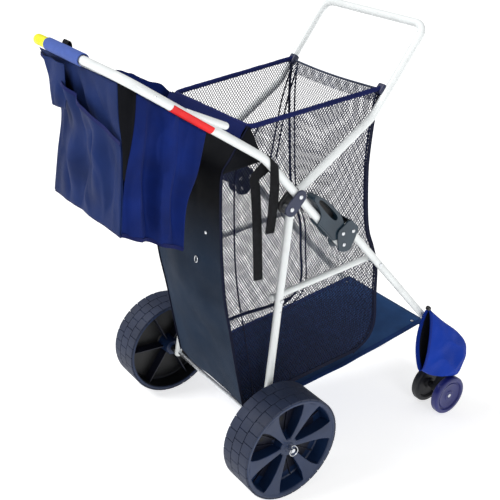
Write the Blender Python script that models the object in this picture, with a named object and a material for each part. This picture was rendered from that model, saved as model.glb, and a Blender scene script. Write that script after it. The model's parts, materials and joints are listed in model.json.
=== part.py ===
"""Folding beach cart: tubular frame, two wide rear wheels, two twin-wheel casters, mesh bag and tote.

Units are metres, +Z is up and +Y points to the casters, so the cart's right-hand side is +X.
The side view of the frame is laid out from the rear axle: at(x, y, z) takes y from the axle
line and places the point in the cart's own frame, whose origin is under the middle of its box.
"""

import math

import bmesh
import bpy
from mathutils import Matrix, Vector

# --- Driving dimensions -------------------------------------------------------------------------

AXLE_Y = -0.1441            # rear axle line in the cart's frame
GAP = 0.0003                # gap between touching pieces
TUBE = 0.0105               # outer radius of the frame tubes
WALL = 0.0016               # wall of the frame tubes
TUBE_SIDES = 10
ROD_SIDES = 12
TUBE_CLEAR = (TUBE + GAP) / math.cos(math.pi / TUBE_SIDES)  # inner radius of a ring on a tube
PIN = 0.0036                # radius of rivets and pivot pins
PIN_HOLE = 0.0039

HANDLE_X = 0.227            # side plane of the push handle and the front legs
HOOP_X = 0.194              # side plane of the hoop and the upper rear legs
BRACE_X = 0.185             # side plane of the braces
FOOT_X = 0.2205             # where the rear legs meet the axle
CASTER_X = 0.228

WHEEL_R = 0.150
WHEEL_OUT = 0.3475          # outer face of a rear wheel
WHEEL_IN = 0.2466           # inner face of a rear wheel
WEB_IN = 0.296              # the web between a rear wheel's hub and rim
WEB_OUT = 0.301
AXLE_R = 0.006
AXLE_Z = WHEEL_R

SLOPE = math.radians(-43.2)             # slope of the handle tube and the front legs
ALONG = (math.cos(SLOPE), math.sin(SLOPE))
ACROSS = (-ALONG[1], ALONG[0])
PIVOT = (0.016, 0.8152)                 # main pivot of the push handle, (y, z)
PIVOT_TO_FOLD = 0.220
PIVOT_TO_BEND = 0.155
FOLD = (PIVOT[0] + PIVOT_TO_FOLD * ALONG[0], PIVOT[1] + PIVOT_TO_FOLD * ALONG[1])
BEND = (PIVOT[0] - PIVOT_TO_BEND * ALONG[0], PIVOT[1] - PIVOT_TO_BEND * ALONG[1])
LEG_RISE = 0.0428                       # the front leg lies this far above the handle tube
LEVER_PIVOT = (-0.028, 0.018)           # latch pivot, along and across from the fold pivot
LEG_RIVET = (-0.004, LEG_RISE)
LEG_TOP = -0.018                        # the front leg's two ends, along the slope
LEG_END = 0.690
BRACE_ON_LEG = 0.180                    # the brace's front end, along the slope
FRONT_BAR = 0.596                       # the front cross bar, along the slope
CROSSBAR = (-0.463, 1.121)              # the push handle's crossbar
STOP = (-0.008, 0.786)                  # the stop rivet under the main pivot
BRACE_PIVOT = (0.018, 0.520)
HOOP_BEND = (0.2622, 0.979)             # where the hoop's tubes turn up
HOOP_TOP = (0.405, 1.207)
RIM_FRONT = (0.291, 1.0500)             # the bag rim's front and rear corners
RIM_REAR = (-0.102, 0.978)
CASTER_AXLE = (0.703, 0.0635)
CASTER_R = 0.0635
CASTER_W = 0.025
CASTER_HALF_TRACK = 0.042
STEM_Y = 0.728                          # the casters' swivel line

PLATE_X = (0.2386, 0.2427)              # the flat parts' inner and outer faces
BLOCK_X = (0.2061, 0.2159)
CAP_X = (0.1700, 0.1990)
BRACKET_X = (0.2065, 0.2484)
BRACKET_SLOT_X = (0.2113, 0.2434)
LEVER_X = (0.2119, 0.2428)
LEVER_CHANNEL_X = (0.2158, 0.2382)
POUCH_X = (0.2443, 0.2850)
STRAP_Y = (-0.088, -0.058)

BAG_HALF = 0.172                        # half widths of the fabric solids
TOTE_HALF = 0.210
BASE_HALF = 0.176
CLOTH = 0.0035                          # wall of the fabric shells
GRIP_START = -0.035                     # along the crossbar, from its middle to the left
GRIP_END = 0.137
SLEEVE_END = 0.212


# --- Placing and shape helpers ------------------------------------------------------------------

def at(x, y, z):
    """A point given from the axle line, in the cart's frame."""
    return Vector((x, y + AXLE_Y, z))


def on_leg(along, across):
    """(y, z) of a point given along and across the slope of the handle tube, from the fold pivot."""
    return (
        FOLD[0] + along * ALONG[0] + across * ACROSS[0],
        FOLD[1] + along * ALONG[1] + across * ACROSS[1],
    )


def side_name(side):
    return "right" if side > 0 else "left"


def material(name, colour, roughness, metallic=0.0):
    made = bpy.data.materials.new(name)
    made.use_nodes = True
    shader = made.node_tree.nodes["Principled BSDF"]
    shader.inputs["Base Color"].default_value = (*colour, 1.0)
    shader.inputs["Roughness"].default_value = roughness
    shader.inputs["Metallic"].default_value = metallic
    return made


def make_object(name, bm, finish=None, origin=None):
    """Makes an object of the mesh, with its origin at the given point."""
    bmesh.ops.recalc_face_normals(bm, faces=bm.faces)
    origin = Vector((0.0, 0.0, 0.0)) if origin is None else origin
    bmesh.ops.translate(bm, verts=bm.verts, vec=-origin)
    mesh = bpy.data.meshes.new(name)
    bm.to_mesh(mesh)
    bm.free()
    mesh.shade_smooth()
    mesh.set_sharp_from_angle(angle=math.radians(35.0))
    obj = bpy.data.objects.new(name, mesh)
    obj.location = origin
    if finish:
        mesh.materials.append(finish)
    bpy.context.scene.collection.objects.link(obj)
    return obj


def rounded(points, radii, step=math.radians(19.0)):
    """The path through the points with each inner corner rounded to an arc."""
    path = [points[0]]
    for before, corner, after, radius in zip(points, points[1:], points[2:], radii):
        entry = (corner - before).normalized()
        leave = (after - corner).normalized()
        turn = entry.angle(leave)
        setback = radius * math.tan(turn / 2.0)
        start = corner - entry * setback
        centre = corner + (leave - entry).normalized() * radius / math.cos(turn / 2.0)
        axis = entry.cross(leave).normalized()
        count = max(2, math.ceil(turn / step))
        for k in range(count + 1):
            spin = Matrix.Rotation(turn * k / count, 3, axis)
            path.append(centre + spin @ (start - centre))
    path.append(points[-1])
    return path


def ring_frames(path):
    """A sideways and an upward unit vector at each point of a path, carried along without twist."""
    frames = []
    side = None
    for k in range(len(path)):
        ahead = path[min(k + 1, len(path) - 1)] - path[max(k - 1, 0)]
        ahead.normalize()
        if side is None:
            side = ahead.orthogonal().normalized()
        side = (side - ahead * side.dot(ahead)).normalized()
        frames.append((side, ahead.cross(side)))
    return frames


def ring(bm, centre, frame, radius, sides):
    made = []
    for k in range(sides):
        angle = 2.0 * math.pi * k / sides
        offset = frame[0] * math.cos(angle) + frame[1] * math.sin(angle)
        made.append(bm.verts.new(centre + offset * radius))
    return made


def bridge(bm, ring_a, ring_b):
    count = len(ring_a)
    for k in range(count):
        j = (k + 1) % count
        bm.faces.new((ring_a[k], ring_a[j], ring_b[j], ring_b[k]))


def swept(path, outer, inner=0.0, sides=TUBE_SIDES):
    """A round rod along the path, or an open-ended tube when it has an inner radius."""
    bm = bmesh.new()
    frames = ring_frames(path)
    outside = [ring(bm, p, f, outer, sides) for p, f in zip(path, frames)]
    for ring_a, ring_b in zip(outside, outside[1:]):
        bridge(bm, ring_a, ring_b)
    if inner <= 0.0:
        bm.faces.new(outside[0])
        bm.faces.new(outside[-1])
        return bm
    inside = [ring(bm, p, f, inner, sides) for p, f in zip(path, frames)]
    for ring_a, ring_b in zip(inside, inside[1:]):
        bridge(bm, ring_a, ring_b)
    bridge(bm, outside[0], inside[0])
    bridge(bm, outside[-1], inside[-1])
    return bm


def turned(profile, centre, segments=32, closed=False):
    """A solid turned about a line along X: the profile's points are (x, radius)."""
    bm = bmesh.new()
    frame = (Vector((0.0, 1.0, 0.0)), Vector((0.0, 0.0, 1.0)))
    rings = []
    for x, radius in profile:
        middle = Vector((x, centre.y, centre.z))
        if radius > 0.0:
            rings.append(ring(bm, middle, frame, radius, segments))
        else:
            rings.append([bm.verts.new(middle)])
    pairs = list(zip(rings, rings[1:]))
    if closed:
        pairs.append((rings[-1], rings[0]))
    for ring_a, ring_b in pairs:
        if len(ring_a) == 1 or len(ring_b) == 1:
            tip, edge = (ring_a[0], ring_b) if len(ring_a) == 1 else (ring_b[0], ring_a)
            for k in range(len(edge)):
                bm.faces.new((tip, edge[k], edge[(k + 1) % len(edge)]))
        else:
            bridge(bm, ring_a, ring_b)
    return bm


def prism(outline, x0, x1):
    """A flat plate between two X planes, with a side outline of (y, z) points from the axle line."""
    bm = bmesh.new()
    near = [bm.verts.new(at(x0, y, z)) for y, z in outline]
    far = [bm.verts.new(at(x1, y, z)) for y, z in outline]
    bridge(bm, near, far)
    bm.faces.new(near)
    bm.faces.new(far)
    return bm


def hull_outline(circles, count=14):
    """The convex outline round a few circles, each (y, z, radius)."""
    points = []
    for y, z, radius in circles:
        for k in range(count):
            angle = 2.0 * math.pi * k / count
            points.append((y + radius * math.cos(angle), z + radius * math.sin(angle)))
    points.sort()

    def half(run):
        kept = []
        for p in run:
            while len(kept) > 1:
                (ay, az), (by, bz) = kept[-2:]
                if (by - ay) * (p[1] - az) - (bz - az) * (p[0] - ay) > 0.0:
                    break
                kept.pop()
            kept.append(p)
        return kept[:-1]

    return half(points) + half(points[::-1])


def add_modifier(obj, cutter, operation):
    cutter.hide_render = True
    cutter.display_type = "WIRE"
    cut = obj.modifiers.new(cutter.name, "BOOLEAN")
    cut.operation = operation
    cut.solver = "EXACT"
    cut.object = cutter


def cut_away(obj, bm, label):
    add_modifier(obj, make_object(f"{obj.name}_{label}", bm), "DIFFERENCE")


def join_on(obj, bm, label):
    add_modifier(obj, make_object(f"{obj.name}_{label}", bm), "UNION")


def rod_mesh(start, end, radius, sides=ROD_SIDES):
    return swept([start, end], radius, 0.0, sides)


def drill(obj, holes, label="holes"):
    """Cuts round holes, each (start, end, radius), whose flats lie outside that radius."""
    for number, (start, end, radius) in enumerate(holes):
        clear = radius / math.cos(math.pi / ROD_SIDES)
        cut_away(obj, rod_mesh(start, end, clear), f"{label}_{number}")


def drill_across(obj, side, spots, x0, x1, radius=PIN_HOLE):
    """Cuts holes along X at the given (y, z) spots, between two X planes of one side."""
    drill(obj, [(at(side * x0, y, z), at(side * x1, y, z), radius) for y, z in spots])


def stepped_pin(name, side, spot, steps, finish, origin, segments=10):
    """A rivet or pin along X: each step is (x0, x1, radius), from the middle of the cart outwards."""
    profile = [(side * steps[0][0], 0.0)]
    for x0, x1, radius in steps:
        profile += [(side * x0, radius), (side * x1, radius)]
    profile.append((side * steps[-1][1], 0.0))
    return make_object(name, turned(profile, at(0.0, *spot), segments), finish, origin)


def stretch(path, start, end):
    """The part of a path between two lengths along it."""
    kept = []
    run = 0.0
    for a, b in zip(path, path[1:]):
        length = (b - a).length
        for cut in (start, end):
            if run <= cut <= run + length:
                kept.append((cut, a.lerp(b, (cut - run) / length)))
        if start < run + length < end:
            kept.append((run + length, b))
        run += length
    kept.sort(key=lambda item: item[0])
    return [point for _, point in kept]


def shell_box(name, outline, cavity, half_width, finish, origin):
    """A fabric box: an outline in the side view, hollowed by a cavity that leaves it open."""
    obj = make_object(name, prism(outline, -half_width, half_width), finish, origin)
    cut_away(obj, prism(cavity, CLOTH - half_width, half_width - CLOTH), "cavity")


# --- Frame tubes --------------------------------------------------------------------------------

def hoop_path():
    """From the right foot, over the top hoop, to the left foot."""
    right = [
        at(FOOT_X, -0.0005, 0.138),
        at(HOOP_X, 0.029, 0.797),
        at(HOOP_X, *HOOP_BEND),
        at(HOOP_X, *HOOP_TOP),
    ]
    left = [Vector((-p.x, p.y, p.z)) for p in reversed(right)]
    return rounded(right + left, [0.060, 0.080, 0.035, 0.035, 0.080, 0.060])


def handle_path():
    """From the right hinge end, round the crossbar, to the left hinge end."""
    right = [at(HANDLE_X, *on_leg(0.012, 0.0)), at(HANDLE_X, *BEND), at(HANDLE_X, *CROSSBAR)]
    left = [Vector((-p.x, p.y, p.z)) for p in reversed(right)]
    return rounded(right + left, [0.150, 0.045, 0.045, 0.150])


def upper_handle(x, y):
    """A point on the handle tube's axis, over its straight upper stretch."""
    slope = (CROSSBAR[1] - BEND[1]) / (CROSSBAR[0] - BEND[0])
    return at(x, y, CROSSBAR[1] + slope * (y - CROSSBAR[0]))


def path_length(path):
    return sum((b - a).length for a, b in zip(path, path[1:]))


def build_hoop(finish):
    hoop = make_object("hoop_frame", swept(hoop_path(), TUBE, TUBE - WALL), finish, AXLE)
    for side in (1, -1):
        drill_across(hoop, side, [(0.0, AXLE_Z)], FOOT_X - 0.03, FOOT_X + 0.03, AXLE_R + GAP)
        drill_across(hoop, side, [BRACE_PIVOT], HOOP_X - 0.02, HOOP_X + 0.04)


def build_handle(finish):
    tube = swept(handle_path(), TUBE, TUBE - WALL)
    handle = make_object("push_handle", tube, finish, MAIN_PIVOT)
    for side in (1, -1):
        drill_across(handle, side, [PIVOT, FOLD], HANDLE_X - 0.03, HANDLE_X + 0.03)


def build_grip(foam, sleeve):
    """The foam grip and the end sleeve, both rings round the handle's crossbar."""
    path = handle_path()
    middle = path_length(path) / 2.0
    grip = swept(stretch(path, middle + GRIP_START, middle + GRIP_END), 0.0155, TUBE_CLEAR)
    make_object("foam_grip", grip, foam, MAIN_PIVOT)
    ends = stretch(path, middle + GRIP_END + 0.0005, middle + SLEEVE_END)
    end = swept(ends, 0.0130, TUBE_CLEAR)
    make_object("grip_end_sleeve", end, sleeve, MAIN_PIVOT)


def build_pegs(finish):
    """The chair hooks: rods that leave the handle tubes at a small angle."""
    root = (-0.320, 1.045)
    tip = (-0.206, 1.005)
    for side in (1, -1):
        x = side * HANDLE_X
        name = f"chair_hook_{side_name(side)}"
        peg = rod_mesh(at(x, *root), at(x, *tip), 0.0084, 16)
        hook = make_object(name, peg, finish, MAIN_PIVOT)
        drill(hook, [(upper_handle(x, -0.40), upper_handle(x, -0.15), TUBE + GAP)], "saddle")


def build_wrap(finish):
    """A thin half sleeve on the outer side of the right handle tube."""
    start, end = [upper_handle(HANDLE_X, y) for y in (-0.356, -0.250)]
    ahead = (end - start).normalized()
    up = Vector((1.0, 0.0, 0.0)).cross(ahead).normalized()
    bm = bmesh.new()
    loops = []
    for middle in (start, end):
        loop = []
        for radius, order in ((TUBE + GAP, range(9)), (TUBE + 0.0012, range(8, -1, -1))):
            for k in order:
                angle = math.radians(-115.0 + 17.5 * k)
                offset = Vector((1.0, 0.0, 0.0)) * math.cos(angle) + up * math.sin(angle)
                loop.append(bm.verts.new(middle + offset * radius))
        loops.append(loop)
        bm.faces.new(loop)
    bridge(bm, *loops)
    make_object("red_wrap", bm, finish, MAIN_PIVOT)


def build_front_leg(side, finish):
    x = side * HANDLE_X
    path = [at(x, *on_leg(LEG_TOP, LEG_RISE)), at(x, *on_leg(LEG_END, LEG_RISE))]
    name = f"front_leg_{side_name(side)}"
    leg = make_object(name, swept(path, TUBE, TUBE - WALL), finish, FOLD_PIVOT)
    spots = [on_leg(*LEG_RIVET), on_leg(BRACE_ON_LEG, LEG_RISE)]
    drill_across(leg, side, spots, HANDLE_X - 0.03, HANDLE_X + 0.03)


def build_front_bar(finish):
    spot = on_leg(FRONT_BAR, LEG_RISE)
    end = HANDLE_X - TUBE - GAP
    path = [at(-end, *spot), at(end, *spot)]
    make_object("front_cross_bar", swept(path, 0.008, 0.0066), finish, FOLD_PIVOT)


def build_brace(side, finish):
    """The brace pivots on the rear leg, and its front end lies beside the front leg's bushing."""
    ahead = Vector((0.0, *on_leg(BRACE_ON_LEG, LEG_RISE))) - Vector((0.0, *BRACE_PIVOT))
    length = ahead.length
    ahead.normalize()
    start = at(side * BRACE_X, *BRACE_PIVOT)
    path = [start - ahead * 0.013, start + ahead * (length + 0.013)]
    name = f"brace_{side_name(side)}"
    pivot = at(0.0, *BRACE_PIVOT)
    brace = make_object(name, swept(path, 0.0085, 0.0071), finish, pivot)
    drill_across(brace, side, [BRACE_PIVOT], BRACE_X - 0.02, BRACE_X + 0.02)


# --- Main pivot ---------------------------------------------------------------------------------

def build_main_pivot(side, plate_finish, block_finish, pin_finish):
    """A clevis on the hoop tube that holds the handle tube between a plate and a block."""
    word = side_name(side)
    spots = [PIVOT, STOP]
    outline = hull_outline([(*PIVOT, 0.0175), (*STOP, 0.0190)])
    plate_mesh = prism(outline, side * PLATE_X[0], side * PLATE_X[1])
    plate = make_object(f"pivot_plate_{word}", plate_mesh, plate_finish, AXLE)
    drill_across(plate, side, spots, 0.230, 0.250)
    outline = hull_outline([(*PIVOT, 0.0160), (*STOP, 0.0180), (0.029, 0.792, 0.0100)])
    block_mesh = prism(outline, side * BLOCK_X[0], side * BLOCK_X[1])
    block = make_object(f"pivot_block_{word}", block_mesh, block_finish, AXLE)
    drill_across(block, side, spots, 0.200, 0.220)
    head = [(0.2430, 0.2445, 0.0068), (0.2445, 0.2455, 0.0045)]
    shaft = [(0.2064, 0.2430, PIN)]
    stepped_pin(f"pivot_pin_{word}", side, PIVOT, shaft + head, pin_finish, AXLE)
    spacer = [(0.2064, 0.2163, PIN), (0.2163, 0.2382, 0.0085), (0.2382, 0.2430, PIN)]
    stepped_pin(f"stop_rivet_{word}", side, STOP, spacer + head, pin_finish, AXLE)


# --- Folding latch ------------------------------------------------------------------------------

def slanted_box(side, faces, along, across):
    """A box between two X faces, laid along the slope of the handle tube."""
    corners = [(0, 0), (1, 0), (1, 1), (0, 1)]
    outline = [on_leg(along[i], across[j]) for i, j in corners]
    return prism(outline, side * faces[0], side * faces[1])


def build_bracket(side, finish, pin_finish):
    """The round latch bracket: two plates and a bridge, riveted to the top of the front leg."""
    word = side_name(side)
    circles = [
        (*on_leg(0.0, 0.0), 0.018),
        (*on_leg(*LEG_RIVET), 0.016),
        (*on_leg(*LEVER_PIVOT), 0.016),
    ]
    block = prism(hull_outline(circles), side * BRACKET_X[0], side * BRACKET_X[1])
    bracket = make_object(f"latch_bracket_{word}", block, finish, FOLD_PIVOT)
    slot = slanted_box(side, BRACKET_SLOT_X, (-0.10, 0.10), (-0.10, 0.0545))
    cut_away(bracket, slot, "slot")
    spots = [FOLD, on_leg(*LEG_RIVET), on_leg(*LEVER_PIVOT)]
    drill_across(bracket, side, spots, 0.200, 0.255)
    steps = [(0.2052, 0.2062, 0.0060), (0.2062, 0.2487, PIN), (0.2487, 0.2500, 0.0062)]
    for label, spot in zip(("fold_pin", "leg_rivet", "lever_pin"), spots):
        stepped_pin(f"{label}_{word}", side, spot, steps, pin_finish, FOLD_PIVOT)


def build_lever(side, finish):
    """The latch lever: a channel that snaps over the handle tube, with a finger loop above it."""
    outline = [
        (-0.127, -0.014), (-0.040, -0.014), (-0.022, 0.004), (-0.018, 0.024), (-0.028, 0.034),
        (-0.050, 0.045), (-0.087, 0.055), (-0.150, 0.053), (-0.188, 0.044), (-0.201, 0.036),
        (-0.203, 0.027), (-0.196, 0.020), (-0.165, 0.016), (-0.140, 0.011),
    ]
    loop = [
        (-0.176, 0.026), (-0.120, 0.024), (-0.090, 0.026), (-0.078, 0.033), (-0.086, 0.041),
        (-0.150, 0.041), (-0.178, 0.035),
    ]
    pivot = at(0.0, *on_leg(*LEVER_PIVOT))
    body = prism([on_leg(*p) for p in outline], side * LEVER_X[0], side * LEVER_X[1])
    lever = make_object(f"latch_lever_{side_name(side)}", body, finish, pivot)
    channel = slanted_box(side, LEVER_CHANNEL_X, (-0.30, 0.05), (-0.05, 0.0134))
    cut_away(lever, channel, "channel")
    cut_away(lever, prism([on_leg(*p) for p in loop], side * 0.20, side * 0.26), "loop")
    drill_across(lever, side, [on_leg(*LEVER_PIVOT)], 0.20, 0.26)


# --- Wheels and casters -------------------------------------------------------------------------

def wedge(angle, half_angle, inner, outer, x0, x1, centre):
    """A tapered pocket cutter between two radii of a wheel."""
    outline = []
    spread = 4
    for k in range(spread + 1):
        turn = angle + half_angle * (2.0 * k / spread - 1.0)
        outline.append((math.cos(turn) * outer, math.sin(turn) * outer))
    inner_half = half_angle * 0.62
    outline.append((math.cos(angle + inner_half) * inner, math.sin(angle + inner_half) * inner))
    outline.append((math.cos(angle - inner_half) * inner, math.sin(angle - inner_half) * inner))
    return prism([(centre[0] + y, centre[1] + z) for y, z in outline], x0, x1)


def build_rear_wheel(side, finish):
    """A wide moulded wheel: rim and hub joined by a web, with six pockets between its spokes."""
    bore = AXLE_R + GAP
    crown = 0.004
    profile = [
        (WHEEL_IN, bore), (WHEEL_IN, 0.024), (WEB_IN, 0.027), (WEB_IN, 0.136),
        (WHEEL_IN, 0.139), (WHEEL_IN, WHEEL_R - crown), (WHEEL_IN + crown, WHEEL_R),
        (WHEEL_OUT - crown, WHEEL_R), (WHEEL_OUT, WHEEL_R - crown), (WHEEL_OUT, 0.136),
        (WHEEL_OUT - 0.008, 0.130), (WHEEL_OUT - 0.010, 0.028), (WHEEL_OUT - 0.010, bore),
    ]
    spot = (0.0, AXLE_Z)
    body = turned([(side * x, r) for x, r in profile], at(0.0, *spot), 40, closed=True)
    wheel = make_object(f"rear_wheel_{side_name(side)}", body, finish, AXLE)
    for k in range(6):
        angle = math.radians(60.0 * k + 30.0)
        pocket = wedge(angle, math.radians(23.0), 0.040, 0.127, side * WEB_OUT, side * 0.36, spot)
        cut_away(wheel, pocket, f"pocket_{k}")


def build_axle(finish, spacer_finish):
    ends = [Vector((side * 0.3520, AXLE.y, AXLE.z)) for side in (-1, 1)]
    axle = make_object("rear_axle", rod_mesh(*ends, AXLE_R, 16), finish, AXLE)
    for side in (1, -1):
        x = side * 0.3445
        hole = (Vector((x, AXLE.y, AXLE.z - 0.02)), Vector((x, AXLE.y, AXLE.z + 0.02)), 0.0017)
        drill(axle, [hole], f"pin_hole_{side_name(side)}")
        profile = [(0.2318, AXLE_R + GAP), (0.2318, 0.0115), (0.2462, 0.0115), (0.2462, AXLE_R + GAP)]
        ring_mesh = turned([(side * x, r) for x, r in profile], AXLE, 14, closed=True)
        make_object(f"axle_spacer_{side_name(side)}", ring_mesh, spacer_finish, AXLE)
        build_ring_pin(side, x, finish)


def build_ring_pin(side, x, finish):
    """The pin through the axle end, whose wire curls round in front of the axle."""
    points = [Vector((x, AXLE.y, AXLE.z + drop)) for drop in (-0.013, 0.000, 0.0105)]
    outwards = side * 0.0095
    for k in range(1, 15):
        angle = math.radians(90.0 - 22.0 * k)
        lean = min(1.0, k / 4.0)
        across = Vector((x + outwards * lean, AXLE.y, AXLE.z))
        across.y += 0.0135 * math.cos(angle)
        across.z += 0.0135 * math.sin(angle)
        points.append(across)
    pin = swept(points, 0.0013, 0.0, 8)
    make_object(f"ring_pin_{side_name(side)}", pin, finish, AXLE)


def build_socket(side, finish):
    """The corner socket: a sleeve on the leg's end joined to an upright swivel housing."""
    x = side * CASTER_X
    sleeve = rod_mesh(at(x, *on_leg(0.652, LEG_RISE)), at(x, *on_leg(0.711, LEG_RISE)), 0.0135)
    socket = make_object(f"caster_socket_{side_name(side)}", sleeve, finish, FOLD_PIVOT)
    housing = rod_mesh(at(x, STEM_Y, 0.149), at(x, STEM_Y, 0.224), 0.0148)
    join_on(socket, housing, "housing")
    leg_x = side * HANDLE_X
    leg_bore = (
        at(leg_x, *on_leg(0.60, LEG_RISE)),
        at(leg_x, *on_leg(LEG_END + GAP, LEG_RISE)),
        TUBE + GAP,
    )
    stem_bore = (at(x, STEM_Y, 0.10), at(x, STEM_Y, 0.2008), 0.0063)
    drill(socket, [leg_bore, stem_bore])


def build_fork(side, finish):
    """The swivelling part of a caster: stem, bearing disc and an arm down to the axle tube."""
    x = side * CASTER_X
    stem_axis = at(x, STEM_Y, 0.0)
    arm = prism(
        hull_outline([(*CASTER_AXLE, 0.0145), (STEM_Y - 0.003, 0.111, 0.016)]), x - 0.012, x + 0.012
    )
    fork = make_object(f"caster_fork_{side_name(side)}", arm, finish, stem_axis)
    join_on(fork, rod_mesh(at(x, STEM_Y, 0.1190), at(x, STEM_Y, 0.1435), 0.0150), "disc")
    join_on(fork, rod_mesh(at(x, STEM_Y, 0.1400), at(x, STEM_Y, 0.2000), 0.0060), "stem")
    hub = rod_mesh(at(x - 0.0288, *CASTER_AXLE), at(x + 0.0288, *CASTER_AXLE), 0.0115)
    join_on(fork, hub, "hub")
    drill_across(fork, side, [CASTER_AXLE], CASTER_X - 0.05, CASTER_X + 0.05, 0.0040)


def build_caster_wheels(side, finish, pin_finish):
    """Two small dished wheels on one through axle."""
    spot = at(0.0, *CASTER_AXLE)
    inner = CASTER_HALF_TRACK - CASTER_W / 2.0
    outer = CASTER_HALF_TRACK + CASTER_W / 2.0
    profile = [
        (inner, 0.0041), (inner, 0.015), (inner + 0.008, 0.018), (inner + 0.008, 0.046),
        (inner, 0.050), (inner, CASTER_R - 0.005), (inner + 0.005, CASTER_R),
        (outer - 0.005, CASTER_R), (outer, CASTER_R - 0.005), (outer, 0.050),
        (outer - 0.007, 0.045), (outer - 0.004, 0.016), (outer - 0.004, 0.0041),
    ]
    for place, outwards in (("outer", 1), ("inner", -1)):
        points = [(side * (CASTER_X + outwards * x), r) for x, r in profile]
        wheel = turned(points, spot, 24, closed=True)
        make_object(f"caster_wheel_{place}_{side_name(side)}", wheel, finish, spot)
    rim = outer - 0.0037
    steps = [(-rim - 0.003, -rim, 0.0070), (-rim, rim, 0.0037), (rim, rim + 0.003, 0.0070)]
    placed = [(CASTER_X + a, CASTER_X + b, r) for a, b, r in steps]
    name = f"caster_axle_{side_name(side)}"
    stepped_pin(name, side, CASTER_AXLE, placed, pin_finish, spot)


# --- Bag frame, fabric solids and straps --------------------------------------------------------

def build_rim(finish, cap_finish):
    """A rod that carries the bag's sides and rear, held at the hoop by two corner caps."""
    right = [at(0.180, *RIM_FRONT), at(0.166, *RIM_REAR)]
    left = [Vector((-p.x, p.y, p.z)) for p in reversed(right)]
    rod = swept(rounded(right + left, [0.018, 0.018]), 0.004, 0.0, 10)
    make_object("bag_rim_rod", rod, finish, AXLE)
    for side in (1, -1):
        y, z = RIM_FRONT[0] + 0.011, RIM_FRONT[1] + 0.001
        lean = math.atan2(HOOP_TOP[1] - HOOP_BEND[1], HOOP_TOP[0] - HOOP_BEND[0])
        up = (math.cos(lean), math.sin(lean))
        outline = []
        for a, b in ((-0.017, -0.014), (0.017, -0.014), (0.017, 0.012), (-0.017, 0.012)):
            outline.append((y + a * up[0] + b * up[1], z + a * up[1] - b * up[0]))
        cap_mesh = prism(outline, side * CAP_X[0], side * CAP_X[1])
        cap = make_object(f"bag_corner_cap_{side_name(side)}", cap_mesh, cap_finish, AXLE)
        x = side * HOOP_X
        tube = (at(x, *HOOP_BEND), at(x, *HOOP_TOP), TUBE + GAP)
        rod_end = at(side * 0.180, *RIM_FRONT)
        rod_way = (rod_end.lerp(at(side * 0.166, *RIM_REAR), 0.2), rod_end, 0.0046)
        drill(cap, [tube, rod_way])


def build_bag(finish):
    outline = [
        (-0.110, 0.970), (-0.168, 0.865), (-0.158, 0.703), (-0.124, 0.508), (-0.085, 0.380),
        (-0.043, 0.214), (0.000, 0.196), (0.330, 0.247), (0.385, 0.266), (0.417, 0.300),
        (0.421, 0.345), (0.404, 0.444), (0.366, 0.590), (0.332, 0.665), (0.302, 0.827),
        (0.284, 1.038),
    ]
    cavity = [
        (-0.118, 1.060), (-0.106, 0.968), (-0.1645, 0.865), (-0.1545, 0.703), (-0.1205, 0.509),
        (-0.0815, 0.381), (-0.0400, 0.217), (0.000, 0.1995), (0.330, 0.2505), (0.3835, 0.269),
        (0.4135, 0.301), (0.4175, 0.345), (0.4005, 0.443), (0.3625, 0.589), (0.3285, 0.664),
        (0.2985, 0.827), (0.2800, 1.090),
    ]
    shell_box("mesh_bag", outline, cavity, BAG_HALF, finish, AXLE)


def build_base(finish):
    """The platform sheet, from the front cross bar back to the axle."""
    line = [(0.629, 0.2830), (0.386, 0.2360), (0.158, 0.1960), (0.040, 0.1720), (0.009, 0.1610)]
    thick = 0.004
    outline = line + [(y, z - thick) for y, z in reversed(line)]
    make_object("base_platform", prism(outline, -BASE_HALF, BASE_HALF), finish, AXLE)


def build_tote(finish):
    outline = [
        (-0.452, 1.095), (-0.440, 0.950), (-0.458, 0.778), (-0.293, 0.722), (-0.290, 0.830),
        (-0.253, 0.985),
    ]
    cavity = [
        (-0.4485, 1.140), (-0.4365, 0.950), (-0.4540, 0.7815), (-0.2965, 0.7275),
        (-0.2935, 0.8305), (-0.2565, 0.985), (-0.2565, 1.060),
    ]
    shell_box("tote_bag", outline, cavity, TOTE_HALF, finish, MAIN_PIVOT)


def build_pouch(finish):
    """The umbrella-foot pouch: a flat pocket with its mouth facing back and up."""
    outline = [
        (0.540, 0.204), (0.661, 0.146), (0.731, 0.132), (0.751, 0.189), (0.726, 0.252),
        (0.532, 0.409),
    ]
    cavity = [
        (0.520, 0.220), (0.662, 0.1495), (0.7285, 0.1360), (0.7475, 0.189), (0.7235, 0.2495),
        (0.500, 0.430),
    ]
    pouch = make_object("umbrella_pouch", prism(outline, *POUCH_X), finish, FOLD_PIVOT)
    cut_away(pouch, prism(cavity, POUCH_X[0] + 0.0028, POUCH_X[1] - 0.0028), "cavity")


def build_strap(side, finish):
    """Webbing over the handle tube, with a short tail outside it and a long tail inside."""
    y0, y1 = STRAP_Y
    drop = math.tan(SLOPE) * (y1 - y0)
    top = 0.9355
    thick = 0.0016
    inner = [(0.2397, 0.735), (0.2397, top - 0.006), (0.2355, top), (0.2185, top)]
    inner += [(0.2143, top - 0.006), (0.2143, 0.600)]
    outer = [(0.2397 + thick, 0.735), (0.2397 + thick, top - 0.005), (0.2362, top + thick)]
    outer += [(0.2178, top + thick), (0.2143 - thick, top - 0.005), (0.2143 - thick, 0.600)]
    loop = inner + outer[::-1]
    bm = bmesh.new()
    near = [bm.verts.new(at(side * x, y0, z)) for x, z in loop]
    far = [bm.verts.new(at(side * x, y1, z + drop)) for x, z in loop]
    bridge(bm, near, far)
    count = len(inner)
    for k in range(count - 1):
        a, b = k, k + 1
        c, d = 2 * count - 2 - k, 2 * count - 1 - k
        bm.faces.new((near[a], near[b], near[c], near[d]))
        bm.faces.new((far[a], far[b], far[c], far[d]))
    make_object(f"strap_{side_name(side)}", bm, finish, MAIN_PIVOT)


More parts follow.
